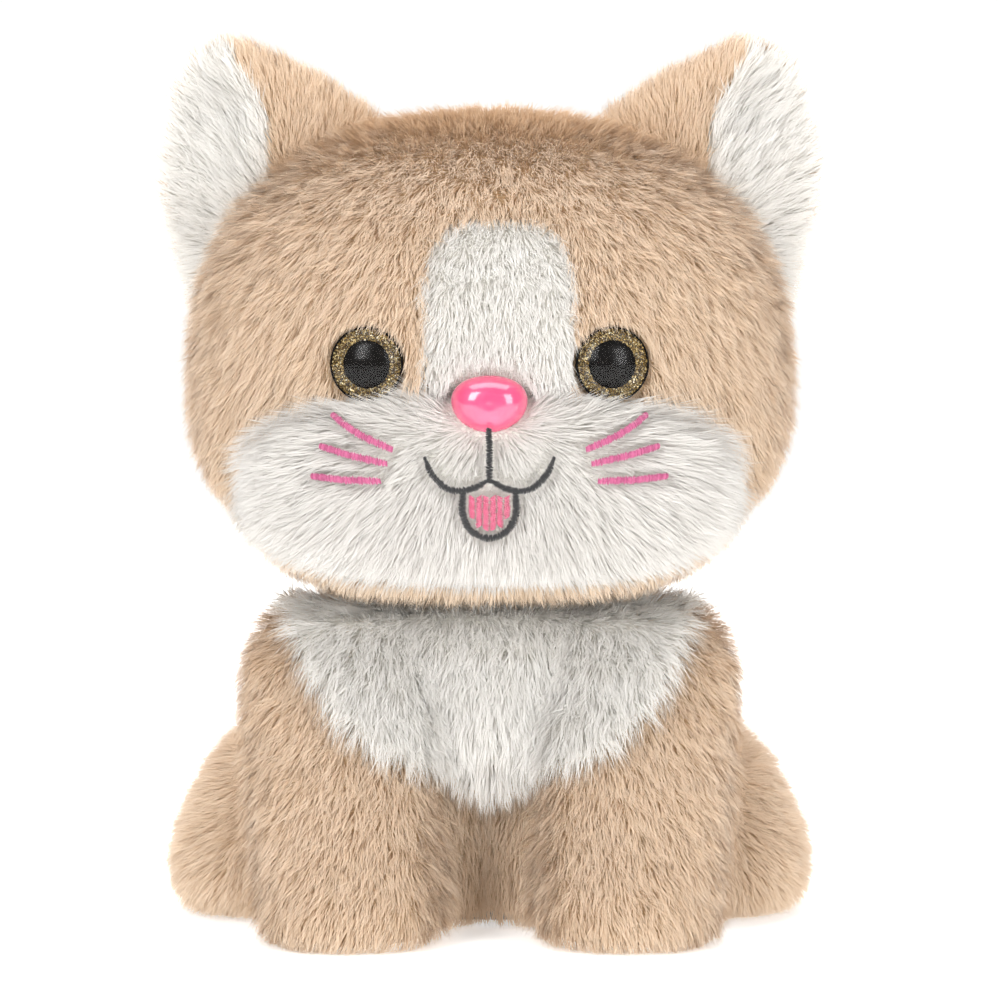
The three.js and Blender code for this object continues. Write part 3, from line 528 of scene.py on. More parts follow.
def pressed_out(thing, pressure, cap_mm):
    """Fills a closed cover with Cloth pressure, moving no point further than cap_mm."""
    before = vertex_array(thing.data)
    cloth = thing.modifiers.new("stuffing", "CLOTH")
    cloth.settings.use_pressure = True
    cloth.settings.uniform_pressure_force = pressure
    cloth.settings.quality = 4
    cloth.settings.effector_weights.gravity = 0
    cloth.settings.tension_stiffness = cloth.settings.compression_stiffness = 12
    scene = bpy.context.scene
    for moment in range(1, 21):
        scene.frame_set(moment)
    after = vertex_array(evaluated(thing))
    thing.modifiers.remove(cloth)
    scene.frame_set(1)
    step = after - before
    length = np.linalg.norm(step, axis=1, keepdims=True)
    step *= np.minimum(1, cap_mm / np.maximum(length, 1e-6))
    thing.data.vertices.foreach_set("co", ((before + step) * MM).astype(np.float32).ravel())
    thing.data.update()


def cover_form(node, voxel_mm, sink_mm, cap_mm=0.0, smooth=4, shaped=None):
    """A closed, even mesh of a CAD soft solid, sunk by sink_mm and then pressed out by up to cap_mm."""
    mesh = frame["nodes"][node].data.copy()
    merged = bmesh.new()
    merged.from_mesh(mesh)
    bmesh.ops.remove_doubles(merged, verts=merged.verts, dist=1e-5)
    merged.to_mesh(mesh)
    merged.free()
    thing = bpy.data.objects.new(f"{node}_form", mesh)
    bpy.context.scene.collection.objects.link(thing)
    remesh = thing.modifiers.new("even_squares", "REMESH")
    remesh.mode, remesh.voxel_size, remesh.use_smooth_shade = "VOXEL", voxel_mm * MM, True
    relax = thing.modifiers.new("relax", "SMOOTH")
    relax.factor, relax.iterations = 0.5, smooth
    thing.data = evaluated(thing)
    thing.modifiers.clear()
    points, normals = vertex_array(thing.data), vertex_array(thing.data, normals=True)
    thing.data.vertices.foreach_set("co", ((points - normals * sink_mm) * MM).astype(np.float32).ravel())
    thing.data.update()
    if cap_mm:
        pressed_out(thing, 4, cap_mm)
    points = vertex_array(thing.data)
    if shaped:
        points = shaped(points)
    points[:, 2] = np.maximum(points[:, 2], 0.4)
    thing.data.vertices.foreach_set("co", (points * MM).astype(np.float32).ravel())
    thing.data.update()
    thing.data.materials.clear()
    return thing


# %% [markdown]
# Pile grows only where the cloth faces the open air. A short ray from each point along its normal tells: if it
# meets another piece within a few millimetres, the two covers are sewn or pressed together there, or the
# cloth faces the battery housing inside, and the pile is left off.

# %% Where the air is
def solid_tree(names):
    """One search tree over several CAD nodes, in mm."""
    points, faces = [], []
    for name in names:
        mesh, start = frame["nodes"][name].data, len(points)
        points += [v.co / MM for v in mesh.vertices]
        faces += [[start + i for i in p.vertices] for p in mesh.polygons]
    return BVHTree.FromPolygons(points, faces)


def open_air(points, normals, names, near_mm=3.0, far_mm=9.0):
    """1 where nothing of the named nodes stands within far_mm, 0 where something stands within near_mm."""
    tree, share = solid_tree(names), np.ones(len(points))
    for i, (point, normal) in enumerate(zip(points, normals)):
        found = tree.ray_cast(Vector(point), Vector(normal), far_mm)
        if found[0] is not None:
            share[i] = np.clip((found[3] - near_mm) / (far_mm - near_mm), 0, 1)
    return share


def brushed(normals, direction):
    """The part of each direction that lies along the cloth, at unit length."""
    along = direction - normals * (direction * normals).sum(axis=1, keepdims=True)
    return along / np.maximum(np.linalg.norm(along, axis=1, keepdims=True), 1e-6)


def finish_piece(name, mesh, body, slot, *nodes, fill=None):
    """Links a finished mesh as a piece that rides on a body and stands for its CAD nodes."""
    piece = bpy.data.objects.new(name, mesh)
    bpy.context.scene.collection.objects.link(piece)
    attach(piece, body)
    if nodes:
        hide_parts(*nodes)
    return piece


def grow(form, backing, fibre, knit, keep_clear, **sizes):
    """The mesh of a cloth with its pile. backing is the cloth as a closed shell."""
    backing.data.materials.clear()
    backing.data.materials.append(knit)
    return run_tree(form, PILE, Backing=backing, Keep_clear=keep_clear, Fibre=fibre, **sizes)


print("stuffing and nap helpers are ready")

# %% [markdown]
# The head is filled first, as one ball. Its seams come after the filling, because the remesh and the pressure
# would erase them: each seam draws the cloth in along a line. The seams are the round outline of the
# muzzle, the outline of the blaze on the forehead, and the long one that runs over the head
# from side to side and joins the face to the back of the head.

# %% Fill the head and draw in its seams
SEAM_Y = 6.0             # where the face meets the back of the head
BLAZE_MIDDLE, BLAZE_REACH = np.array([2.5, 167.0]), np.array([20.0, 28.5])


def muzzle_edge(points):
    """About how far a point lies outside the muzzle's outline, in mm, as seen from the front."""
    reach_z = np.where(points[:, 2] < MUZZLE_MIDDLE[2], 24.5, 25.0)
    share = (np.abs(points[:, 0] / 66.0) ** 2.5 + np.abs((points[:, 2] - MUZZLE_MIDDLE[2]) / reach_z) ** 2.5)
    return (share ** 0.4 - 1) * 34


def blaze_edge(points):
    share = (np.abs((points[:, [0, 2]] - BLAZE_MIDDLE) / BLAZE_REACH) ** 3.4).sum(axis=1)
    return (share ** (1 / 3.4) - 1) * 22


def drawn_in(points, normals):
    """The head's points with its seams drawn in."""
    front = points[:, 1] < SEAM_Y - 4
    muzzle, blaze = muzzle_edge(points), blaze_edge(points)
    depth = 2.6 * np.exp(-(points[:, 1] - SEAM_Y) ** 2 / 3.2 ** 2)
    depth += np.where(front, 2.2 * np.exp(-(muzzle / 3.5) ** 2), 0)
    depth += np.where(front & (muzzle > 0), 1.0 * np.exp(-(blaze / 3.0) ** 2), 0)
    return points - normals * depth[:, None]


EYE_RADIUS, EYE_TURN, EYE_PROUD = 10.0, math.radians(14), 1.9


def eye_seat(side, sign):
    """The middle of an eye's back, in mm, and the way the eye looks."""
    low, high = corners(f"eye_lens_{side}")
    axis = np.array([sign * math.sin(EYE_TURN), -math.cos(EYE_TURN), 0])
    back_y = high[1] - EYE_RADIUS * math.sin(EYE_TURN) - EYE_PROUD
    return np.array([(low[0] + high[0]) / 2 - axis[0] * 1.5, back_y, (low[2] + high[2]) / 2]), axis


EYE_SEAT_DEPTH, EYE_SEAT_SLOPE, EYE_SEAT_RIM = 2.6, 1.5, 5


def seated_eyes(points):
    """The head's points with the cloth held flat behind each eye by its washer."""
    for side, sign in (("left", 1), ("right", -1)):
        origin, axis = eye_seat(side, sign)
        along = (points - origin) @ axis
        off = np.linalg.norm(points - origin - along[:, None] * axis, axis=1)
        limit = np.maximum(off - EYE_RADIUS, 0) * EYE_SEAT_SLOPE - EYE_SEAT_DEPTH
        points = points - np.where(off < EYE_RADIUS + EYE_SEAT_RIM, np.maximum(along - limit, 0), 0)[:, None] * axis
    return points


head_form = mesh_object("head_form", head_points, head_faces)
pressed_out(head_form, 4, 3.0)
rounder = head_form.modifiers.new("rounder", "SUBSURF")
rounder.levels = rounder.render_levels = 1
head_form.data = evaluated(head_form)
head_form.modifiers.clear()
seamed = seated_eyes(drawn_in(vertex_array(head_form.data), vertex_array(head_form.data, normals=True)))
head_form.data.vertices.foreach_set("co", (seamed * MM).astype(np.float32).ravel())
head_form.data.update()
print("head cloth:", len(head_form.data.polygons), "faces")

# %% [markdown]
# The face pieces and the stitches all need to know where the cloth is, so one function drops a point onto
# the head from the front and gives the surface there with the way it faces.

# %% The face as a surface to place things on
face_tree = BVHTree.FromPolygons([Vector(p) for p in vertex_array(head_form.data)],
                                 [list(f.vertices) for f in head_form.data.polygons])


def on_face(x, z, proud=0.0):
    """The point that stands proud of the head's cloth at x and z, in mm, and the outward normal there."""
    place, normal, _, _ = face_tree.ray_cast(Vector((x, -130, z)), Vector((0, 1, 0)))
    return np.array(place + normal * proud), np.array(normal)


print("nose rests at", on_face(0, 147)[0].round(1), "and the chin stitch at", on_face(0, 114)[0].round(1))

# %% [markdown]
# The mouth and the whiskers are satin stitch: thread laid side by side across each stroke, sunk at both edges
# and raised in the middle. Following a path is what Geometry Nodes do well. The tree turns a path to
# a curve, steps along it by the thread's own spacing, and lays one small bowed thread across at each step.
# A path carries three attributes: wide, the stroke's width there, up, the way the cloth faces,
# and slant, how far the threads lean along the stroke.

# %% The satin stitch tree
STITCH_INPUTS = (("Path", "NodeSocketGeometry", None), ("Thread", "NodeSocketMaterial", None),
                 ("Thickness", "NodeSocketFloat", 0.46 * MM), ("Spacing", "NodeSocketFloat", 0.4 * MM),
                 ("Bow", "NodeSocketFloat", 0.32), ("Seed", "NodeSocketInt", 3))


def stitch_tree():
    tree, given = tree_with("satin_stitch", STITCH_INPUTS, "Stitches")
    wide, up, slant = (in_use(add_node(tree, "GeometryNodeInputNamedAttribute", {"Name": name}, data_type=kind))
                       for name, kind in (("wide", "FLOAT"), ("up", "FLOAT_VECTOR"), ("slant", "FLOAT")))
    place = add_node(tree, "GeometryNodeInputPosition").outputs[0]
    path = add_node(tree, "GeometryNodeMeshToCurve", {"Mesh": given["Path"]}).outputs[0]
    steps = add_node(tree, "GeometryNodeCurveToPoints", {"Curve": path, "Length": given["Spacing"]}, mode="LENGTH")
    blade = add_node(tree, "GeometryNodeMeshGrid", {"Size X": 1, "Size Y": 1, "Vertices X": 7, "Vertices Y": 6})
    corner = add_node(tree, "ShaderNodeSeparateXYZ", {0: place}).outputs
    round_turn = add_node(tree, "ShaderNodeMath", {0: corner["Y"], 1: math.tau}, operation="MULTIPLY").outputs[0]
    half = add_node(tree, "ShaderNodeMath", {0: corner["X"], 1: 2.0}, operation="MULTIPLY").outputs[0]
    half = add_node(tree, "ShaderNodeMath", {0: half, 1: half}, operation="MULTIPLY").outputs[0]
    arch = add_node(tree, "ShaderNodeMath", {0: 1.0, 1: half}, operation="SUBTRACT").outputs[0]
    radius = add_node(tree, "ShaderNodeMath", {0: arch, 1: 0.4}, operation="POWER").outputs[0]
    radius = add_node(tree, "ShaderNodeMath", {0: radius, 1: given["Thickness"]}, operation="MULTIPLY").outputs[0]
    radius = add_node(tree, "ShaderNodeMath", {0: radius, 1: 0.5}, operation="MULTIPLY").outputs[0]
    sine = add_node(tree, "ShaderNodeMath", {0: round_turn}, operation="SINE").outputs[0]
    cosine = add_node(tree, "ShaderNodeMath", {0: round_turn}, operation="COSINE").outputs[0]
    side = add_node(tree, "ShaderNodeMath", {0: radius, 1: cosine}, operation="MULTIPLY").outputs[0]
    rise = add_node(tree, "ShaderNodeMath", {0: arch, 1: given["Bow"]}, operation="MULTIPLY").outputs[0]
    rise = add_node(tree, "ShaderNodeMath", {0: rise, 1: 1.2 * MM}, operation="MULTIPLY").outputs[0]
    rise = add_node(tree, "ShaderNodeMath", {0: radius, 1: sine, 2: rise}, operation="MULTIPLY_ADD").outputs[0]
    thread = add_node(tree, "GeometryNodeSetPosition", {"Geometry": blade.outputs["Mesh"], "Position": add_node(
        tree, "ShaderNodeCombineXYZ", {0: corner["X"], 1: side, 2: rise}).outputs[0]}).outputs[0]
    thread = add_node(tree, "GeometryNodeMergeByDistance", {"Geometry": thread, "Distance": 1e-6}).outputs[0]
    tangent = add_node(tree, "ShaderNodeVectorMath", {0: up, 1: steps.outputs["Tangent"]},
                       operation="CROSS_PRODUCT").outputs[0]
    wobble = in_use(add_node(tree, "FunctionNodeRandomValue", {2: -0.12, 3: 0.12, "Seed": given["Seed"]},
                             data_type="FLOAT"))
    lean = add_node(tree, "ShaderNodeMath", {0: slant, 1: wobble}, operation="ADD").outputs[0]
    leaning = add_node(tree, "ShaderNodeVectorMath", {0: steps.outputs["Tangent"], 1: lean, 2: tangent},
                       operation="MULTIPLY_ADD").outputs[0]
    turn = add_node(tree, "FunctionNodeAlignRotationToVector", {"Vector": leaning}, axis="X").outputs[0]
    turn = add_node(tree, "FunctionNodeAlignRotationToVector", {"Rotation": turn, "Vector": up},
                    axis="Z", pivot_axis="X").outputs[0]
    uneven = in_use(add_node(tree, "FunctionNodeRandomValue", {2: 0.85, 3: 1.2, "Seed": 5}, data_type="FLOAT"))
    long = add_node(tree, "ShaderNodeMath", {0: wide, 1: uneven}, operation="MULTIPLY").outputs[0]
    threads = add_node(tree, "GeometryNodeInstanceOnPoints", {
        "Points": steps.outputs["Points"], "Instance": thread, "Rotation": turn, "Scale": add_node(
            tree, "ShaderNodeCombineXYZ", {0: long, 1: 1.0, 2: 1.0}).outputs[0]}).outputs[0]
    tone = in_use(add_node(tree, "FunctionNodeRandomValue", {2: 0.0, 3: 1.0, "Seed": 9}, data_type="FLOAT"))
    threads = add_node(tree, "GeometryNodeStoreNamedAttribute", {
        "Geometry": threads, "Name": "tone", "Value": tone}, data_type="FLOAT", domain="INSTANCE").outputs[0]
    threads = add_node(tree, "GeometryNodeRealizeInstances", {"Geometry": threads}).outputs[0]
    threads = add_node(tree, "GeometryNodeSetShadeSmooth", {"Geometry": threads}).outputs[0]
    threads = add_node(tree, "GeometryNodeSetMaterial", {
        "Geometry": threads, "Material": given["Thread"]}).outputs[0]
    add_node(tree, "NodeGroupOutput", {0: threads})
    return tree


STITCH = stitch_tree()
print("satin stitch tree:", len(STITCH.nodes), "nodes")

# %% [markdown]
# Embroidery thread is bright twisted viscose, so it takes a narrow highlight along each strand. The twist is
# drawn as fine bands at 0.3 mm, and each thread's tone differs a little.

# %% Thread materials


def thread_material(name, deep, bright):
    material, tree, principled = new_material(
        name, Roughness=0.42, Specular_IOR_Level=0.5, Sheen_Weight=0.2, Anisotropic=0.4)
    tone = add_node(tree, "ShaderNodeAttribute", attribute_name="tone").outputs["Fac"]
    twist = object_noise(tree, 0.3, detail=1.0)
    mixed = add_node(tree, "ShaderNodeMath", {0: tone, 1: twist}, operation="ADD").outputs[0]
    mixed = add_node(tree, "ShaderNodeMath", {0: mixed, 1: 0.5}, operation="MULTIPLY").outputs[0]
    tree.links.new(ramp(tree, mixed, [(0.15, deep), (0.85, bright)]), principled.inputs["Base Color"])
    bump(tree, principled, twist, 0.06)
    return material


rose_thread = thread_material("rose_viscose_thread", "#9E3A68", "#D06C97")
black_thread = thread_material("black_viscose_thread", "#0C0C0D", "#2B2B2D")
coral_thread = thread_material("coral_viscose_thread", "#BC4468", "#DC7090")

# %% [markdown]
# Each stroke is drawn as a few points in the plane of the face, rounded, stepped evenly and dropped onto
# the head, a little above the cloth so that the stitches lie in the top of the pile.

# %% Lay the stitches
STITCH_PROUD = 4.2


def rounded_path(points, step=0.8):
    """Even steps along a smooth line through the points."""
    points = np.array(points, float)
    ends = np.vstack([2 * points[0] - points[1], points, 2 * points[-1] - points[-2]])
    line = []
    for a, b, c, d in zip(ends, ends[1:], ends[2:], ends[3:]):
        for t in np.linspace(0, 1, 16, endpoint=False):
            line.append(0.5 * (2 * b + (c - a) * t + (2 * a - 5 * b + 4 * c - d) * t ** 2
                               + (3 * b - a - 3 * c + d) * t ** 3))
    line = np.array(line + [points[-1]])
    gone = np.concatenate([[0], np.cumsum(np.linalg.norm(np.diff(line, axis=0), axis=1))])
    at = np.linspace(0, gone[-1], max(3, int(gone[-1] / step)))
    return np.column_stack([np.interp(at, gone, line[:, i]) for i in range(line.shape[1])])


def stitches(strokes, thread, proud=STITCH_PROUD, **sizes):
    """strokes are (points, width in mm, share of the width at both ends, slant). Returns one mesh."""
    points, edges, wide, up, slants = [], [], [], [], []
    for corners_xz, width, end_share, slant in strokes:
        line = rounded_path(corners_xz)
        start = len(points)
        for i, (x, z) in enumerate(line):
            place, normal = on_face(x, z, proud)
            to_end = min(i, len(line) - 1 - i) / (len(line) - 1) * 2
            points.append(place)
            up.append(normal)
            wide.append(width * MM * (end_share + (1 - end_share) * min(1, to_end * 3) ** 0.7))
            slants.append(slant)
        edges += [(i, i + 1) for i in range(start, len(points) - 1)]
    mesh = bpy.data.meshes.new("strokes")
    mesh.from_pydata((np.array(points) * MM).tolist(), edges, [])
    paint(mesh, "wide", wide)
    paint(mesh, "up", np.array(up))
    paint(mesh, "slant", slants)
    path = bpy.data.objects.new("strokes", mesh)
    bpy.context.scene.collection.objects.link(path)
    laid = run_tree(path, STITCH, Thread=thread, **sizes)
    discard(path)
    return laid


def mirrored(points):
    return [(-x, z) for x, z in points]


WHISKERS = [[(40, 140.5), (32.5, 136.6), (25, 133.7)], [(43, 134), (34.7, 131.7), (26.5, 130.2)],
            [(45, 126.7), (36.5, 126), (28.2, 126)]]
SMILE = [(17, 132.2), (15.6, 128.6), (12, 125.2), (8, 124.2), (3.8, 125), (0.4, 127)]
LIP = [(-6.9, 123.6), (-6.9, 118.5), (-4.6, 114.2), (0, 112.3), (4.6, 114.2), (6.9, 118.5), (6.9, 123.6)]
TONGUE_TOP, TONGUE_LOW = 122.6, [117.6, 115.4, 114.6, 114.6, 115.4, 117.6]

fittings = []
for side, sign in (("left", 1), ("right", -1)):
    for number, line in enumerate(WHISKERS, 1):
        stroke = line if sign > 0 else mirrored(line)
        mesh = stitches([(stroke, 2.3, 0.75, 0.25 * sign)], rose_thread)
        fittings.append(finish_piece(f"whisker_stitch_{side}_{number}", mesh, "head", "pink_thread",
                                     f"whisker_{side}_{number}"))
mouth = stitches([([(0, 138.6), (0, 132), (0, 126.4)], 2.1, 0.8, 0.2), (SMILE, 2.2, 0.45, 0.3),
                  (mirrored(SMILE), 2.2, 0.45, -0.3), (LIP, 2.3, 0.9, 0.2)], black_thread)
fittings.append(finish_piece("mouth_satin_stitch", mouth, "head", "black_thread", "mouth_stitch"))
columns = [([(x, TONGUE_TOP), (x, (TONGUE_TOP + low) / 2), (x, low)], 2.3, 0.9, 0.55 * (-1) ** i)
           for i, (x, low) in enumerate(zip(np.linspace(-4.6, 4.6, 6), TONGUE_LOW))]
tongue = stitches(columns, coral_thread, proud=STITCH_PROUD - 0.5, Spacing=0.5 * MM)
fittings.append(finish_piece("tongue_stitch", tongue, "head", "tongue_thread", "tongue_patch"))
print("stitches:", sum(len(p.data.polygons) for p in fittings), "faces in", len(fittings), "pieces")

# %% [markdown]
# Each eye is a one-piece safety eye: a clear dome whose flat back carries the print. The ring is dark brown with
# gold glitter set in it, the pupil is black, and a thin dark edge runs round. Round pieces are made the way
# a lathe makes them, by turning a profile about the eye's own axis, which leans outwards a little.

# %% Turned pieces


def turned_mesh(name, profile, origin, axis, material, sides=64):
    """A closed solid: profile is (radius, distance along the axis) pairs in mm, from one pole to the other."""
    axis = Vector(axis).normalized()
    right = axis.cross(Vector((0, 0, 1))).normalized()
    above = right.cross(axis)
    turned = bmesh.new()
    rings = []
    for radius, along in profile:
        middle = Vector(origin) + axis * along
        if radius < 1e-6:
            rings.append([turned.verts.new(middle * MM)] * sides)
            continue
        rings.append([turned.verts.new((middle + radius * (
            right * math.cos(math.tau * k / sides) + above * math.sin(math.tau * k / sides))) * MM)
            for k in range(sides)])
    for lower, upper in zip(rings, rings[1:]):
        for k in range(sides):
            square = dict.fromkeys((lower[k], lower[k - 1], upper[k - 1], upper[k]))
            if len(square) > 2:
                turned.faces.new(square)
    bmesh.ops.recalc_face_normals(turned, faces=turned.faces)
    mesh = bpy.data.meshes.new(name)
    turned.to_mesh(mesh)
    turned.free()
    mesh.shade_smooth()
    mesh.materials.append(material)
    return mesh


def joined(name, meshes):
    """Several meshes as one, each with its own materials."""
    both = bmesh.new()
    result = bpy.data.meshes.new(name)
    for mesh in meshes:
        start, first = len(both.faces), len(result.materials)
        both.from_mesh(mesh)
        both.faces.ensure_lookup_table()
        for face in both.faces[start:]:
            face.material_index += first
        for material in mesh.materials:
            result.materials.append(material)
    both.to_mesh(result)
    both.free()
    return result


# %% [markdown]
# Clear acrylic shows mostly as a highlight, with the print a little deeper in tone behind it. Glitter is
# metallised film cut in tiny hexagons: each flake is a real one, tilted its own way, so that some catch the
# light and the others go dark.

# %% Eye materials
clear_acrylic, _, _ = new_material(
    "clear_acrylic_dome", Base_Color=linear("#2A2724"), Roughness=0.15, IOR=1.6, Alpha=0.14)
black_print, tree, shader = new_material("black_gloss_print", Roughness=0.5, Specular_IOR_Level=0.1)
tree.links.new(ramp(tree, object_noise(tree, 2), [(0.3, "#050505"), (0.7, "#0C0B0B")]), shader.inputs["Base Color"])
brown_print, tree, shader = new_material("brown_lacquer_print", Roughness=0.35, Coat_Weight=0.3)
tree.links.new(ramp(tree, object_noise(tree, 0.8), [(0.3, "#2E2013"), (0.7, "#54401F")]), shader.inputs["Base Color"])
gold_film, tree, shader = new_material("gold_film_glitter", Metallic=0.75, Roughness=0.3)
flake_tone = add_node(tree, "ShaderNodeAttribute", attribute_name="tone").outputs["Fac"]
tree.links.new(ramp(tree, flake_tone, [(0.0, "#7A5E2C"), (0.5, "#B8985A"), (0.85, "#EBD7A0"), (1.0, "#FFF8E4")]),
               shader.inputs["Base Color"])

# %% The glitter tree
GLITTER_INPUTS = (("Ring", "NodeSocketGeometry", None), ("Film", "NodeSocketMaterial", None),
                  ("Flake radius", "NodeSocketFloat", 0.18 * MM), ("Density", "NodeSocketFloat", 9.0 / MM ** 2),
                  ("Tilt", "NodeSocketFloat", 0.55), ("Seed", "NodeSocketInt", 4))


def glitter_tree():
    tree, given = tree_with("set_glitter", GLITTER_INPUTS, "Flakes")
    spots = add_node(tree, "GeometryNodeDistributePointsOnFaces", {
        "Mesh": given["Ring"], "Density": given["Density"], "Seed": given["Seed"]})
    flake = add_node(tree, "GeometryNodeMeshCircle", {"Vertices": 6, "Radius": given["Flake radius"]},
                     fill_type="NGON").outputs[0]
    tilt = in_use(add_node(tree, "FunctionNodeRandomValue", {0: (-1, -1, -1), 1: (1, 1, 1)},
                           data_type="FLOAT_VECTOR"))
    way = add_node(tree, "ShaderNodeVectorMath", {0: tilt, 1: given["Tilt"], 2: spots.outputs["Normal"]},
                   operation="MULTIPLY_ADD").outputs[0]
    turn = add_node(tree, "FunctionNodeAlignRotationToVector", {"Vector": way}, axis="Z").outputs[0]
    size = in_use(add_node(tree, "FunctionNodeRandomValue", {2: 0.55, 3: 1.35, "Seed": 2}, data_type="FLOAT"))
    flakes = add_node(tree, "GeometryNodeInstanceOnPoints", {
        "Points": spots.outputs["Points"], "Instance": flake, "Rotation": turn, "Scale": size}).outputs[0]
    tone = in_use(add_node(tree, "FunctionNodeRandomValue", {2: 0.0, 3: 1.0, "Seed": 6}, data_type="FLOAT"))
    flakes = add_node(tree, "GeometryNodeStoreNamedAttribute", {
        "Geometry": flakes, "Name": "tone", "Value": tone}, data_type="FLOAT", domain="INSTANCE").outputs[0]
    flakes = add_node(tree, "GeometryNodeRealizeInstances", {"Geometry": flakes}).outputs[0]
    flakes = add_node(tree, "GeometryNodeSetMaterial", {"Geometry": flakes, "Material": given["Film"]}).outputs[0]
    add_node(tree, "NodeGroupOutput", {0: flakes})
    return tree


GLITTER = glitter_tree()
print("glitter tree:", len(GLITTER.nodes), "nodes")

# %% Both eyes
PUPIL_RADIUS, DOME_RISE = 6.4, 5.4


def dome_profile(radius, rise, back, steps=12):
    """Half a lens: a round cap over a flat back."""
    curve = (radius ** 2 + rise ** 2) / (2 * rise)
    reach = math.asin(radius / curve)
    cap = [(curve * math.sin(reach * k / steps), curve * math.cos(reach * k / steps) - curve + rise)
           for k in range(steps + 1)]
    return cap + [(radius, back), (0, back)]


for side, sign in (("left", 1), ("right", -1)):
    origin, axis = eye_seat(side, sign)
    dome = turned_mesh("dome", dome_profile(EYE_RADIUS, DOME_RISE, 0.9), origin, axis, clear_acrylic)
    piece = finish_piece(f"eye_dome_{side}", dome, "head", "eye_clear", f"eye_lens_{side}")
    ring = turned_mesh("ring", [(0, -1.2), (9.7, -1.2), (9.7, 0.35), (7.6, 0.1), (PUPIL_RADIUS, 0), (0, 0)],
                       origin, axis, brown_print)
    face_on = turned_mesh("ring_face", [(PUPIL_RADIUS, 0.12), (9.55, 0.42)], origin, axis, brown_print)
    holder = bpy.data.objects.new("ring_face", face_on)
    bpy.context.scene.collection.objects.link(holder)
    flakes = run_tree(holder, GLITTER, Film=gold_film, Seed=4 if sign > 0 else 5)
    discard(holder)
    pupil = turned_mesh("pupil", [(0, -0.6), (PUPIL_RADIUS, -0.6), (PUPIL_RADIUS, 0.25), (6.2, 0.4), (4, 0.55),
                                  (2, 0.62), (0, 0.65)],
                        origin, axis, black_print)
    edge = turned_mesh("edge", [(9.6, -0.8), (10.0, -0.6), (10.05, 0.5), (9.85, 0.85), (9.6, 0.6), (9.6, -0.8)],
                       origin, axis, black_print)
    iris = joined("iris", [ring, flakes, pupil, edge])
    fittings += [piece, finish_piece(f"eye_iris_glitter_{side}", iris, "head", "eye_glitter", f"eye_iris_{side}")]
print("eyes:", [len(p.data.polygons) for p in fittings[-4:]], "faces")

# %% [markdown]
# The nose is moulded in glossy pink plastic: a rounded triangle, widest near its top, that swells forward. Its
# outline and its swell both follow a formula, so the piece is a grid of rings that shrink to the tip.

# %% The nose
pink_plastic, tree, shader = new_material(
    "glossy_pink_plastic", Roughness=0.2, IOR=1.5, Coat_Weight=1.0, Coat_Roughness=0.06, Subsurface_Weight=0.1,
    Subsurface_Radius=(0.004, 0.0012, 0.0012), Subsurface_Scale=0.5)
tree.links.new(ramp(tree, object_noise(tree, 6), [(0.3, "#E4517A"), (0.7, "#EA5F86")]), shader.inputs["Base Color"])
bump(tree, shader, object_noise(tree, 0.5), 0.01)


def nose_mesh():
    low, high = corners("nose")
    middle = Vector((0, low[1] + 7.6, (low[2] + high[2]) / 2 - 0.8))
    half_width, half_height, swell, rings, sides = 11.0, 7.9, 8.4, 16, 72
    nose = bmesh.new()
    loops = []
    for k in range(rings + 1):
        share = math.sin(math.pi / 2 * k / rings)
        forward = swell * (1 - share ** 2.6) ** 0.5
        loop = []
        for i in range(sides):
            turn = math.tau * i / sides
            c, s = math.cos(turn), math.sin(turn)
            x = math.copysign(abs(c) ** 0.97, c) * (0.93 + 0.07 * s)
            z = math.copysign(abs(s) ** 0.98, s) + 0.05 * c * c * share
            loop.append(nose.verts.new((middle + Vector((
                half_width * share * x, -forward - 0.8 * share * (1 - share), half_height * share * z))) * MM))
        loops.append(loop)
    loops.append([nose.verts.new(v.co + Vector((0, 2.5 * MM, 0))) for v in loops[-1]])
    for inner, outer in zip(loops, loops[1:]):
        for i in range(sides):
            nose.faces.new((inner[i], inner[i - 1], outer[i - 1], outer[i]))
    nose.faces.new(loops[-1])
    bmesh.ops.remove_doubles(nose, verts=nose.verts, dist=1e-6)
    bmesh.ops.recalc_face_normals(nose, faces=nose.faces)
    mesh = bpy.data.meshes.new("nose")
    nose.to_mesh(mesh)
    nose.free()
    mesh.shade_smooth()
    mesh.materials.append(pink_plastic)
    return mesh


fittings.append(finish_piece("nose_button", nose_mesh(), "head", "nose_pink", "nose"))
keep_clear = bpy.data.objects.new("keep_clear", joined("keep_clear", [p.data for p in fittings]))
bpy.context.scene.collection.objects.link(keep_clear)
print("the pile keeps clear of", len(fittings), "pieces on the face")

# %% [markdown]
# The head's covers are cut from the filled ball along its seams, as the pattern pieces were before sewing:
# the face, the back of the head, the white muzzle and the white blaze. Each is a thin knit shell with its
# pile on the outside.

# %% Cut and cover the head


def panel(form, chosen):
    """The chosen faces of a form as their own cloth, and the same cloth as a thin closed shell."""
    points, normals = vertex_array(form.data), vertex_array(form.data, normals=True)
    used = sorted({v for f in chosen for v in form.data.polygons[f].vertices})
    new_index = {old: new for new, old in enumerate(used)}
    faces = [[new_index[v] for v in form.data.polygons[f].vertices] for f in chosen]
    cloth = mesh_object("cloth", points[used], faces)
    shell = mesh_object("shell", points[used], faces)
    wall = shell.modifiers.new("wall", "SOLIDIFY")
    wall.thickness, wall.offset, wall.use_even_offset = 0.8 * MM, -1, False
    shell.data = evaluated(shell)
    shell.modifiers.clear()
    return cloth, shell, points[used], normals[used]


BODY_NODES = ("torso_plush", "chest_bib", "front_leg_left", "front_leg_right")


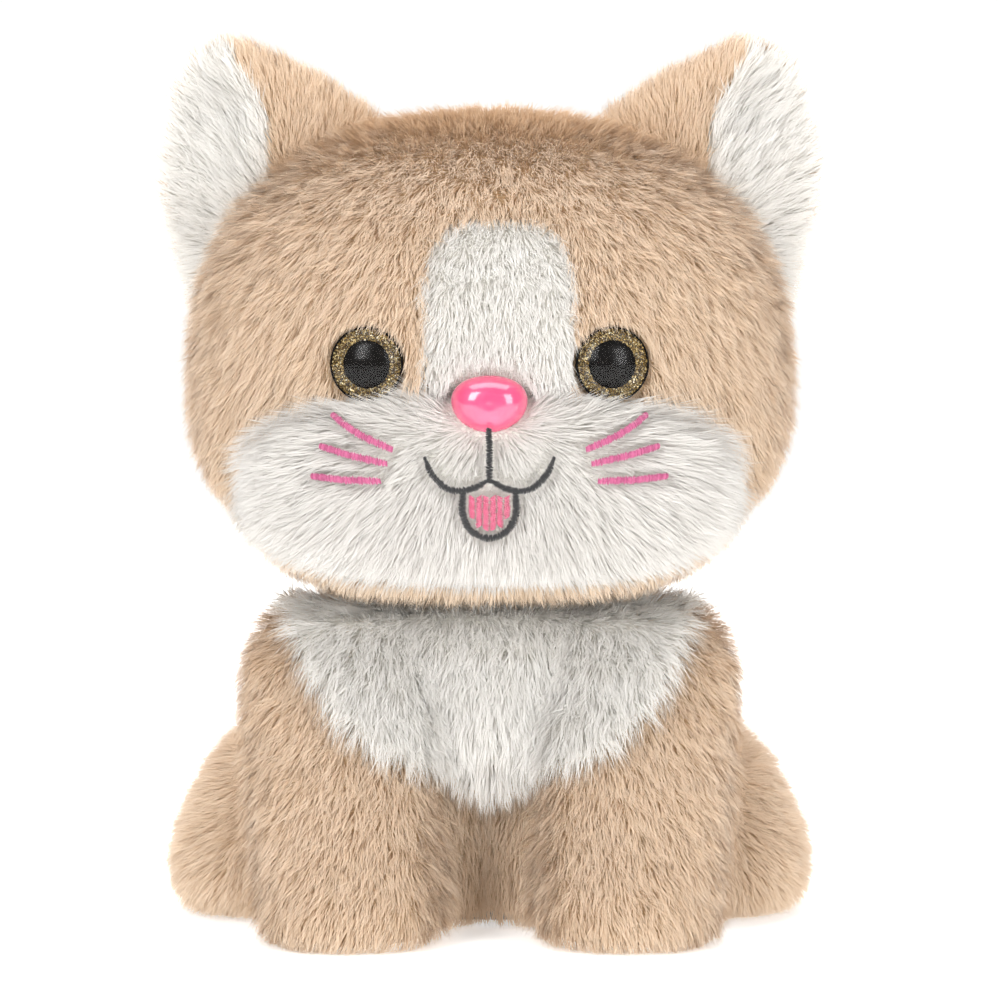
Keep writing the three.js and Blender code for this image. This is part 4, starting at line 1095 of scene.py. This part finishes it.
def cover_panel(name, form, chosen, nap, pile, white, node, fill=0.85, **sizes):
    """Cuts chosen faces out of a form and grows their pile."""
    cloth, shell, points, normals = panel(form, chosen)
    paint(cloth.data, "mask", open_air(points, normals, BODY_NODES, 1.5, 5.0))
    paint(cloth.data, "nap", brushed(normals, nap(points)))
    paint(cloth.data, "pile", pile(points))
    fibre, knit = (white_fibre, white_knit) if white else (tan_fibre, tan_knit)
    # The muzzle takes the greyer copy of the white pile, whose grey is painted shade.
    fibre = muzzle_shaded_fibre if node == "muzzle_panel" else fibre
    mesh = grow(cloth, shell, fibre, knit, keep_clear, **sizes)
    discard(cloth, shell)
    piece = finish_piece(name, mesh, "head", "white_plush" if white else "tan_plush", node, fill=fill)
    print(name, len(mesh.polygons), "faces")
    return piece


# %% [markdown]
# An ear is a leaf that stands up from the head and curls: its tan back wraps round to the front on the side near
# the other ear, and its white lining faces outwards. Its cross-sections at several heights make one
# closed form, and the lining's side of it is then pressed in to a hollow.

# %% The form of an ear
EAR_ROWS = [(168, 52, 8, 26, 12), (176, 55, 8, 27, 14), (188, 57, 8, 29, 15), (200, 59, 8, 30.5, 15),
            (212, 60, 8, 30, 14.5), (222, 61, 8, 27, 13), (231, 66, 7, 19.5, 10.5), (237.5, 70, 6.5, 11.5, 7.5),
            (241.5, 70.5, 6, 4, 3)]
EAR_SIDES = 96
LINING_FROM, LINING_TO = math.radians(-90), math.radians(10)


def ear_form(sign):
    """The ear's closed form, and which of its faces are lining."""
    rows = rounded_path(EAR_ROWS, step=1.7)
    points, lining = [], []
    turns = np.linspace(-math.pi, math.pi, EAR_SIDES, endpoint=False)
    into = np.clip((turns - LINING_FROM) / (LINING_TO - LINING_FROM), 0, 1)
    for z, x, y, wide, deep in rows:
        c, s = np.cos(turns), np.sin(turns)
        out = wide * np.sign(c) * np.abs(c) ** 0.9
        back = deep * np.sign(s) * np.abs(s) ** 0.9
        hollow = 11 * wide / 30 * np.clip((z - 170) / 22, 0, 1) * np.sin(math.pi * into) ** 1.2
        points += list(zip(sign * (x + out - 0.75 * hollow), y + back + 0.66 * hollow, np.full(EAR_SIDES, z)))
    faces = []
    for k in range(len(rows) - 1):
        for i in range(EAR_SIDES):
            a, b = k * EAR_SIDES + i, k * EAR_SIDES + (i + 1) % EAR_SIDES
            faces.append((a, b, b + EAR_SIDES, a + EAR_SIDES)[::int(sign)])
            lining.append(LINING_FROM <= turns[i] < LINING_TO and rows[k][0] > 171)
    foot, tip = len(points), len(points) + 1
    points += [(sign * rows[0][1], rows[0][2], rows[0][0] - 1), (sign * rows[-1][1], rows[-1][2], rows[-1][0] + 1)]
    last = (len(rows) - 1) * EAR_SIDES
    for i in range(EAR_SIDES):
        j = (i + 1) % EAR_SIDES
        faces.append((foot, j, i)[::int(sign)])
        faces.append((tip, last + i, last + j)[::int(sign)])
        lining += [False, False]
    return mesh_object("ear_form", points, faces), np.array(lining)


ear_forms = {side: ear_form(sign) for side, sign in (("left", 1), ("right", -1))}
print("ear form:", len(ear_forms["left"][0].data.polygons), "faces,", ear_forms["left"][1].sum(), "of them lining")

# %% Cut and cover the head and the ears
centres = np.array([f.center for f in head_form.data.polygons]) / MM
in_front = centres[:, 1] < SEAM_Y
is_muzzle = (muzzle_edge(centres) < 0) & (centres[:, 1] < -8)
is_blaze = (blaze_edge(centres) < 0) & (centres[:, 1] < -8) & ~is_muzzle


def face_nap(points):
    """Down the face and outwards."""
    return np.column_stack((points[:, 0] / 140, np.where(points[:, 1] < SEAM_Y, -0.2, 0.4), np.full(len(points), -1.0)))


def muzzle_nap(points):
    """Away from the nose, as whisker pads are brushed."""
    return np.column_stack((points[:, 0], np.full(len(points), 6.0), (points[:, 2] - 141) * 1.1 - 5))


def muzzle_pile(points):
    """Short round the mouth, longest at the cheeks, and short again under the chin."""
    out = np.hypot(points[:, 0] * 0.8, points[:, 2] - 128)
    return np.clip(0.5 + out / 60, 0.5, 1.05) * np.clip(0.6 + (points[:, 2] - 99) / 20, 0.6, 1)


def even_pile(points):
    return np.ones(len(points))


for name, chosen, nap, pile, white, node, sizes in (
        ("head_face_cover", in_front & ~is_muzzle & ~is_blaze, face_nap, even_pile, False, "head_plush",
         {"Length": 7.5 * MM, "Seed": 11}),
        ("head_back_cover", ~in_front, face_nap, even_pile, False, "head_plush",
         {"Length": 7.5 * MM, "Density": 2.7 / MM ** 2, "Seed": 12}),
        ("muzzle_cover", is_muzzle, muzzle_nap, muzzle_pile, True, "muzzle_panel",
         {"Length": 10.5 * MM, "Density": 4.0 / MM ** 2, "Seed": 13, "Lean": 1.0}),
        ("blaze_cover", is_blaze, face_nap, even_pile, True, "forehead_blaze",
         {"Length": 6.5 * MM, "Density": 4.0 / MM ** 2, "Seed": 14})):
    cover_panel(name, head_form, np.flatnonzero(chosen), nap, pile, white, node, **sizes)


def ear_nap(points):
    """From the root to the tip, and outwards."""
    middle = np.column_stack((np.sign(points[:, 0]) * 60, np.full(len(points), 8.0), np.full(len(points), 205.0)))
    return (points - middle) / 35 + np.column_stack((np.sign(points[:, 0]) * 0.25, np.zeros(len(points)),
                                                     np.full(len(points), 0.6)))


for seed, (side, (form, lining)) in enumerate(ear_forms.items()):
    for name, chosen, white, node, sizes in (
            (f"ear_cover_{side}", ~lining, False, f"ear_{side}_outer", {"Length": 7 * MM, "Seed": 20 + seed}),
            (f"ear_lining_cover_{side}", lining, True, f"ear_{side}_lining",
             {"Length": 9 * MM, "Density": 4.0 / MM ** 2, "Seed": 22 + seed})):
        cover_panel(name, form, np.flatnonzero(chosen), ear_nap, even_pile, white, node, fill=0.3, **sizes)

# %% [markdown]
# The body is covered the same way, each stuffed part from its own CAD solid. The nap runs down the body and
# the legs, and stands up round the neck.

# %% Cover the body


def cover_part(name, node, body, white, nap, length, voxel=2.5, sink=3.0, cap=0.0, smooth=4, near=2.0, far=6.0,
               fill=0.7, shaped=None, **sizes):
    form = cover_form(node, voxel, sink, cap, smooth, shaped)
    points, normals = vertex_array(form.data), vertex_array(form.data, normals=True)
    seated = np.clip((points[:, 2] - 1.5) / 2, 0, 1) + np.clip(normals[:, 2] + 0.8, 0, 1) > 0.3
    others = [n for n in frame["nodes"] if n != node and n not in ("head_plush", "muzzle_panel", "paw_lead")
              or (n in ("head_plush", "muzzle_panel") and body == "head")]
    paint(form.data, "mask", open_air(points, normals, others, near, far) * seated)
    paint(form.data, "nap", brushed(normals, nap(points)))
    paint(form.data, "pile", np.ones(len(points)))
    backing = bpy.data.objects.new("backing", form.data.copy())
    bpy.context.scene.collection.objects.link(backing)
    mesh = grow(form, backing, white_fibre if white else tan_fibre, white_knit if white else tan_knit,
                keep_clear, Length=length * MM, **sizes)
    discard(form, backing)
    piece = finish_piece(name, mesh, body, "white_plush" if white else "tan_plush", node, fill=fill)
    print(name, len(mesh.polygons), "faces")
    return piece


def downwards(points):
    """Down the body, but standing up and outwards round the neck."""
    top = np.clip((points[:, 2] - 82) / 8, 0, 1)
    return np.column_stack((points[:, 0] * (1 / 150 + top / 60), (points[:, 1] - 5) * (1 / 120 + top / 60),
                            top * 1.6 - 1))


def shouldered(points):
    """Broad shoulders that reach the chin, stout legs, and a chest that draws back between them."""
    rise = np.clip((points[:, 2] - 52) / 34, 0, 1)
    rise = (rise * rise * (3 - 2 * rise))[:, None]
    between = np.clip(1 - np.abs(points[:, 0]) / 22, 0, 1) * np.clip((58 - points[:, 2]) / 20, 0, 1)
    between *= points[:, 1] < -10
    return points * (1 + rise * [0.2, 0.06, 0]) + rise * [0, 0, 6.5] + between[:, None] * [0, 14, 0]


def stout(points):
    """A front leg, a little wider than its CAD solid at both sides."""
    middle = np.sign(points[:, :1]) * [38, 0, 0]
    return shouldered(points) + (points - middle) * [0.1, 0, 0]


def squat(points):
    """A haunch that spreads where it sits and narrows at its top."""
    low, high = np.clip(1 - points[:, 2] / 32, 0, 1), np.clip((points[:, 2] - 22) / 36, 0, 1)
    return points + np.sign(points[:, :1]) * [1, 0, 0] * (5.0 * low - 5.0 * high)[:, None] \
        - [0, 0, 1] * (4.0 * high)[:, None]


def backwards(points):
    return np.column_stack((points[:, 0] / 200, np.full(len(points), 0.5), np.full(len(points), -1.0)))


for side, sign in (("left", 1), ("right", -1)):
    cover_part(f"front_leg_cover_{side}", f"front_leg_{side}", "root", False, downwards, 7.5, sink=1.5,
               cap=3.0, shaped=stout, Seed=26 + sign)
    cover_part(f"haunch_cover_{side}", f"haunch_{side}", "root", False, backwards, 7.5, cap=3.0,
               shaped=squat, Seed=29 + sign)
cover_part("torso_cover", "torso_plush", "root", False, downwards, 7.5, cap=3.0, shaped=shouldered,
           Density=2.5 / MM ** 2, Seed=31)
cover_part("bib_cover", "chest_bib", "root", True, downwards, 10, voxel=1.2, sink=0.5, smooth=2, near=1.0, far=3.0,
           fill=0.4, shaped=shouldered, Density=4.0 / MM ** 2, Seed=32)
cover_part("tail_cover", "tail", "root", False, backwards, 8, voxel=2.0, sink=2.5, cap=1.5, Seed=33)

# %% [markdown]
# Between the head and the body runs a short gathered tube of the same knit.

# %% The neck tube
PLEATS, NECK_RADIUS = 30, 27.0
neck_low, _ = corners("neck_gusset")
rings, sides = 7, PLEATS * 8
neck_points = []
for wall_radius in (NECK_RADIUS, NECK_RADIUS - 1.2):
    for k in range(rings):
        height = neck_low[2] - 2 + (12.0) * k / (rings - 1)
        belly = 1.5 * math.sin(math.pi * k / (rings - 1))
        for i in range(sides):
            turn = math.tau * i / sides
            radius = wall_radius + belly + 0.9 * math.sin(turn * PLEATS)
            neck_points.append((radius * math.cos(turn), 3 + radius * math.sin(turn), height))
neck_faces = []
for wall in (0, rings * sides):
    for k in range(rings - 1):
        for i in range(sides):
            a, b = wall + k * sides + i, wall + k * sides + (i + 1) % sides
            neck_faces.append((a, b, b + sides, a + sides) if wall == 0 else (a, a + sides, b + sides, b))
for row in (0, (rings - 1) * sides):
    for i in range(sides):
        a, b = row + i, row + (i + 1) % sides
        neck_faces.append((a, a + rings * sides, b + rings * sides, b) if row == 0
                          else (a, b, b + rings * sides, a + rings * sides))
neck = mesh_object("neck_tube", neck_points, neck_faces)
neck.data.materials.append(tan_knit)
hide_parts("neck_gusset")
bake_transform(neck)
print("neck tube:", len(neck_faces), "faces")

# %% [markdown]
# Inside, the moulded, drawn and turned pieces keep their CAD shape. Each gets the finish of its own making: a
# fine moulded grain on plastic, a drawn or turned streak on metal, mask on the circuit board.

# %% Finishes of the inner pieces


def hard_material(name, stops, size_mm, metallic=0.0, rough=(0.35, 0.5), bump_mm=0.02, stretch=(1, 1, 1), **shader):
    """A hard finish: a fine noise moves its colour, its roughness and its height."""
    material, tree, principled = new_material(name, Metallic=metallic, **shader)
    grain = object_noise(tree, size_mm, stretch=stretch)
    tree.links.new(ramp(tree, grain, [(0.25, stops[0]), (0.75, stops[1])]), principled.inputs["Base Color"])
    tree.links.new(level(tree, grain, *rough), principled.inputs["Roughness"])
    bump(tree, principled, grain, bump_mm)
    return material


FINISHES = {
    "washer_plastic": hard_material("natural_polypropylene", ("#E4E2DA", "#F1EFE8"), 0.6),
    "housing_plastic": hard_material("moulded_abs_grey", ("#8F9296", "#A3A6AA"), 0.5, rough=(0.42, 0.58)),
    "frame_plastic": hard_material("moulded_abs_white", ("#DEDDD8", "#EDECE8"), 0.5, rough=(0.4, 0.55)),
    "gear_plastic": hard_material("natural_acetal", ("#ECE9DF", "#F8F6EF"), 0.8, rough=(0.25, 0.38)),
    "steel": hard_material("zinc_plated_steel", ("#B4B6B8", "#D6D8DA"), 0.3, 1.0, (0.22, 0.4), 0.01, (1, 8, 8)),
    "brass": hard_material("turned_brass", ("#B58D3F", "#DDBB6B"), 0.3, 1.0, (0.2, 0.35), 0.01, (8, 1, 1)),
    "motor_can": hard_material("drawn_steel_can", ("#A3A5A7", "#C9CBCD"), 0.4, 1.0, (0.25, 0.42), 0.01, (1, 6, 6)),
    "plated_contact": hard_material("nickel_plated_strip", ("#C3BFB4", "#DFDCD2"), 0.3, 1.0, (0.15, 0.3), 0.01),
    "speaker_steel": hard_material("pressed_steel_basket", ("#8E9092", "#B2B4B6"), 0.5, 1.0, (0.3, 0.5), 0.02),
    "speaker_paper": hard_material("black_paper_cone", ("#1B1B1C", "#303032"), 0.4, rough=(0.8, 0.95), bump_mm=0.05),
    "board": hard_material("green_solder_mask", ("#1D5A36", "#2C7A4B"), 1.2, rough=(0.25, 0.4), bump_mm=0.03),
    "cell_jacket": hard_material("printed_cell_sleeve", ("#23262B", "#3B4048"), 1.5, rough=(0.25, 0.35)),
    "switch_black": hard_material("black_nylon", ("#1A1A1B", "#2A2A2B"), 0.5, rough=(0.4, 0.6)),
    "lead_jacket": hard_material("red_pvc_jacket", ("#A8221E", "#C4352F"), 0.8, rough=(0.35, 0.5)),
}
slots = {part["node"]: part["material_slot"] for part in frame["record"]["subparts"]}
for name, thing in frame["nodes"].items():
    for material_slot in thing.material_slots:
        material_slot.material = FINISHES.get(slots[name], tan_knit)
print("finished", sum(not o.hide_render for o in frame["nodes"].values()), "inner pieces")

# %% [markdown]
# The helper that kept the pile off the face has done its work.

# %% Finish
discard(keep_clear, head_form, *(form for form, _ in ear_forms.values()))
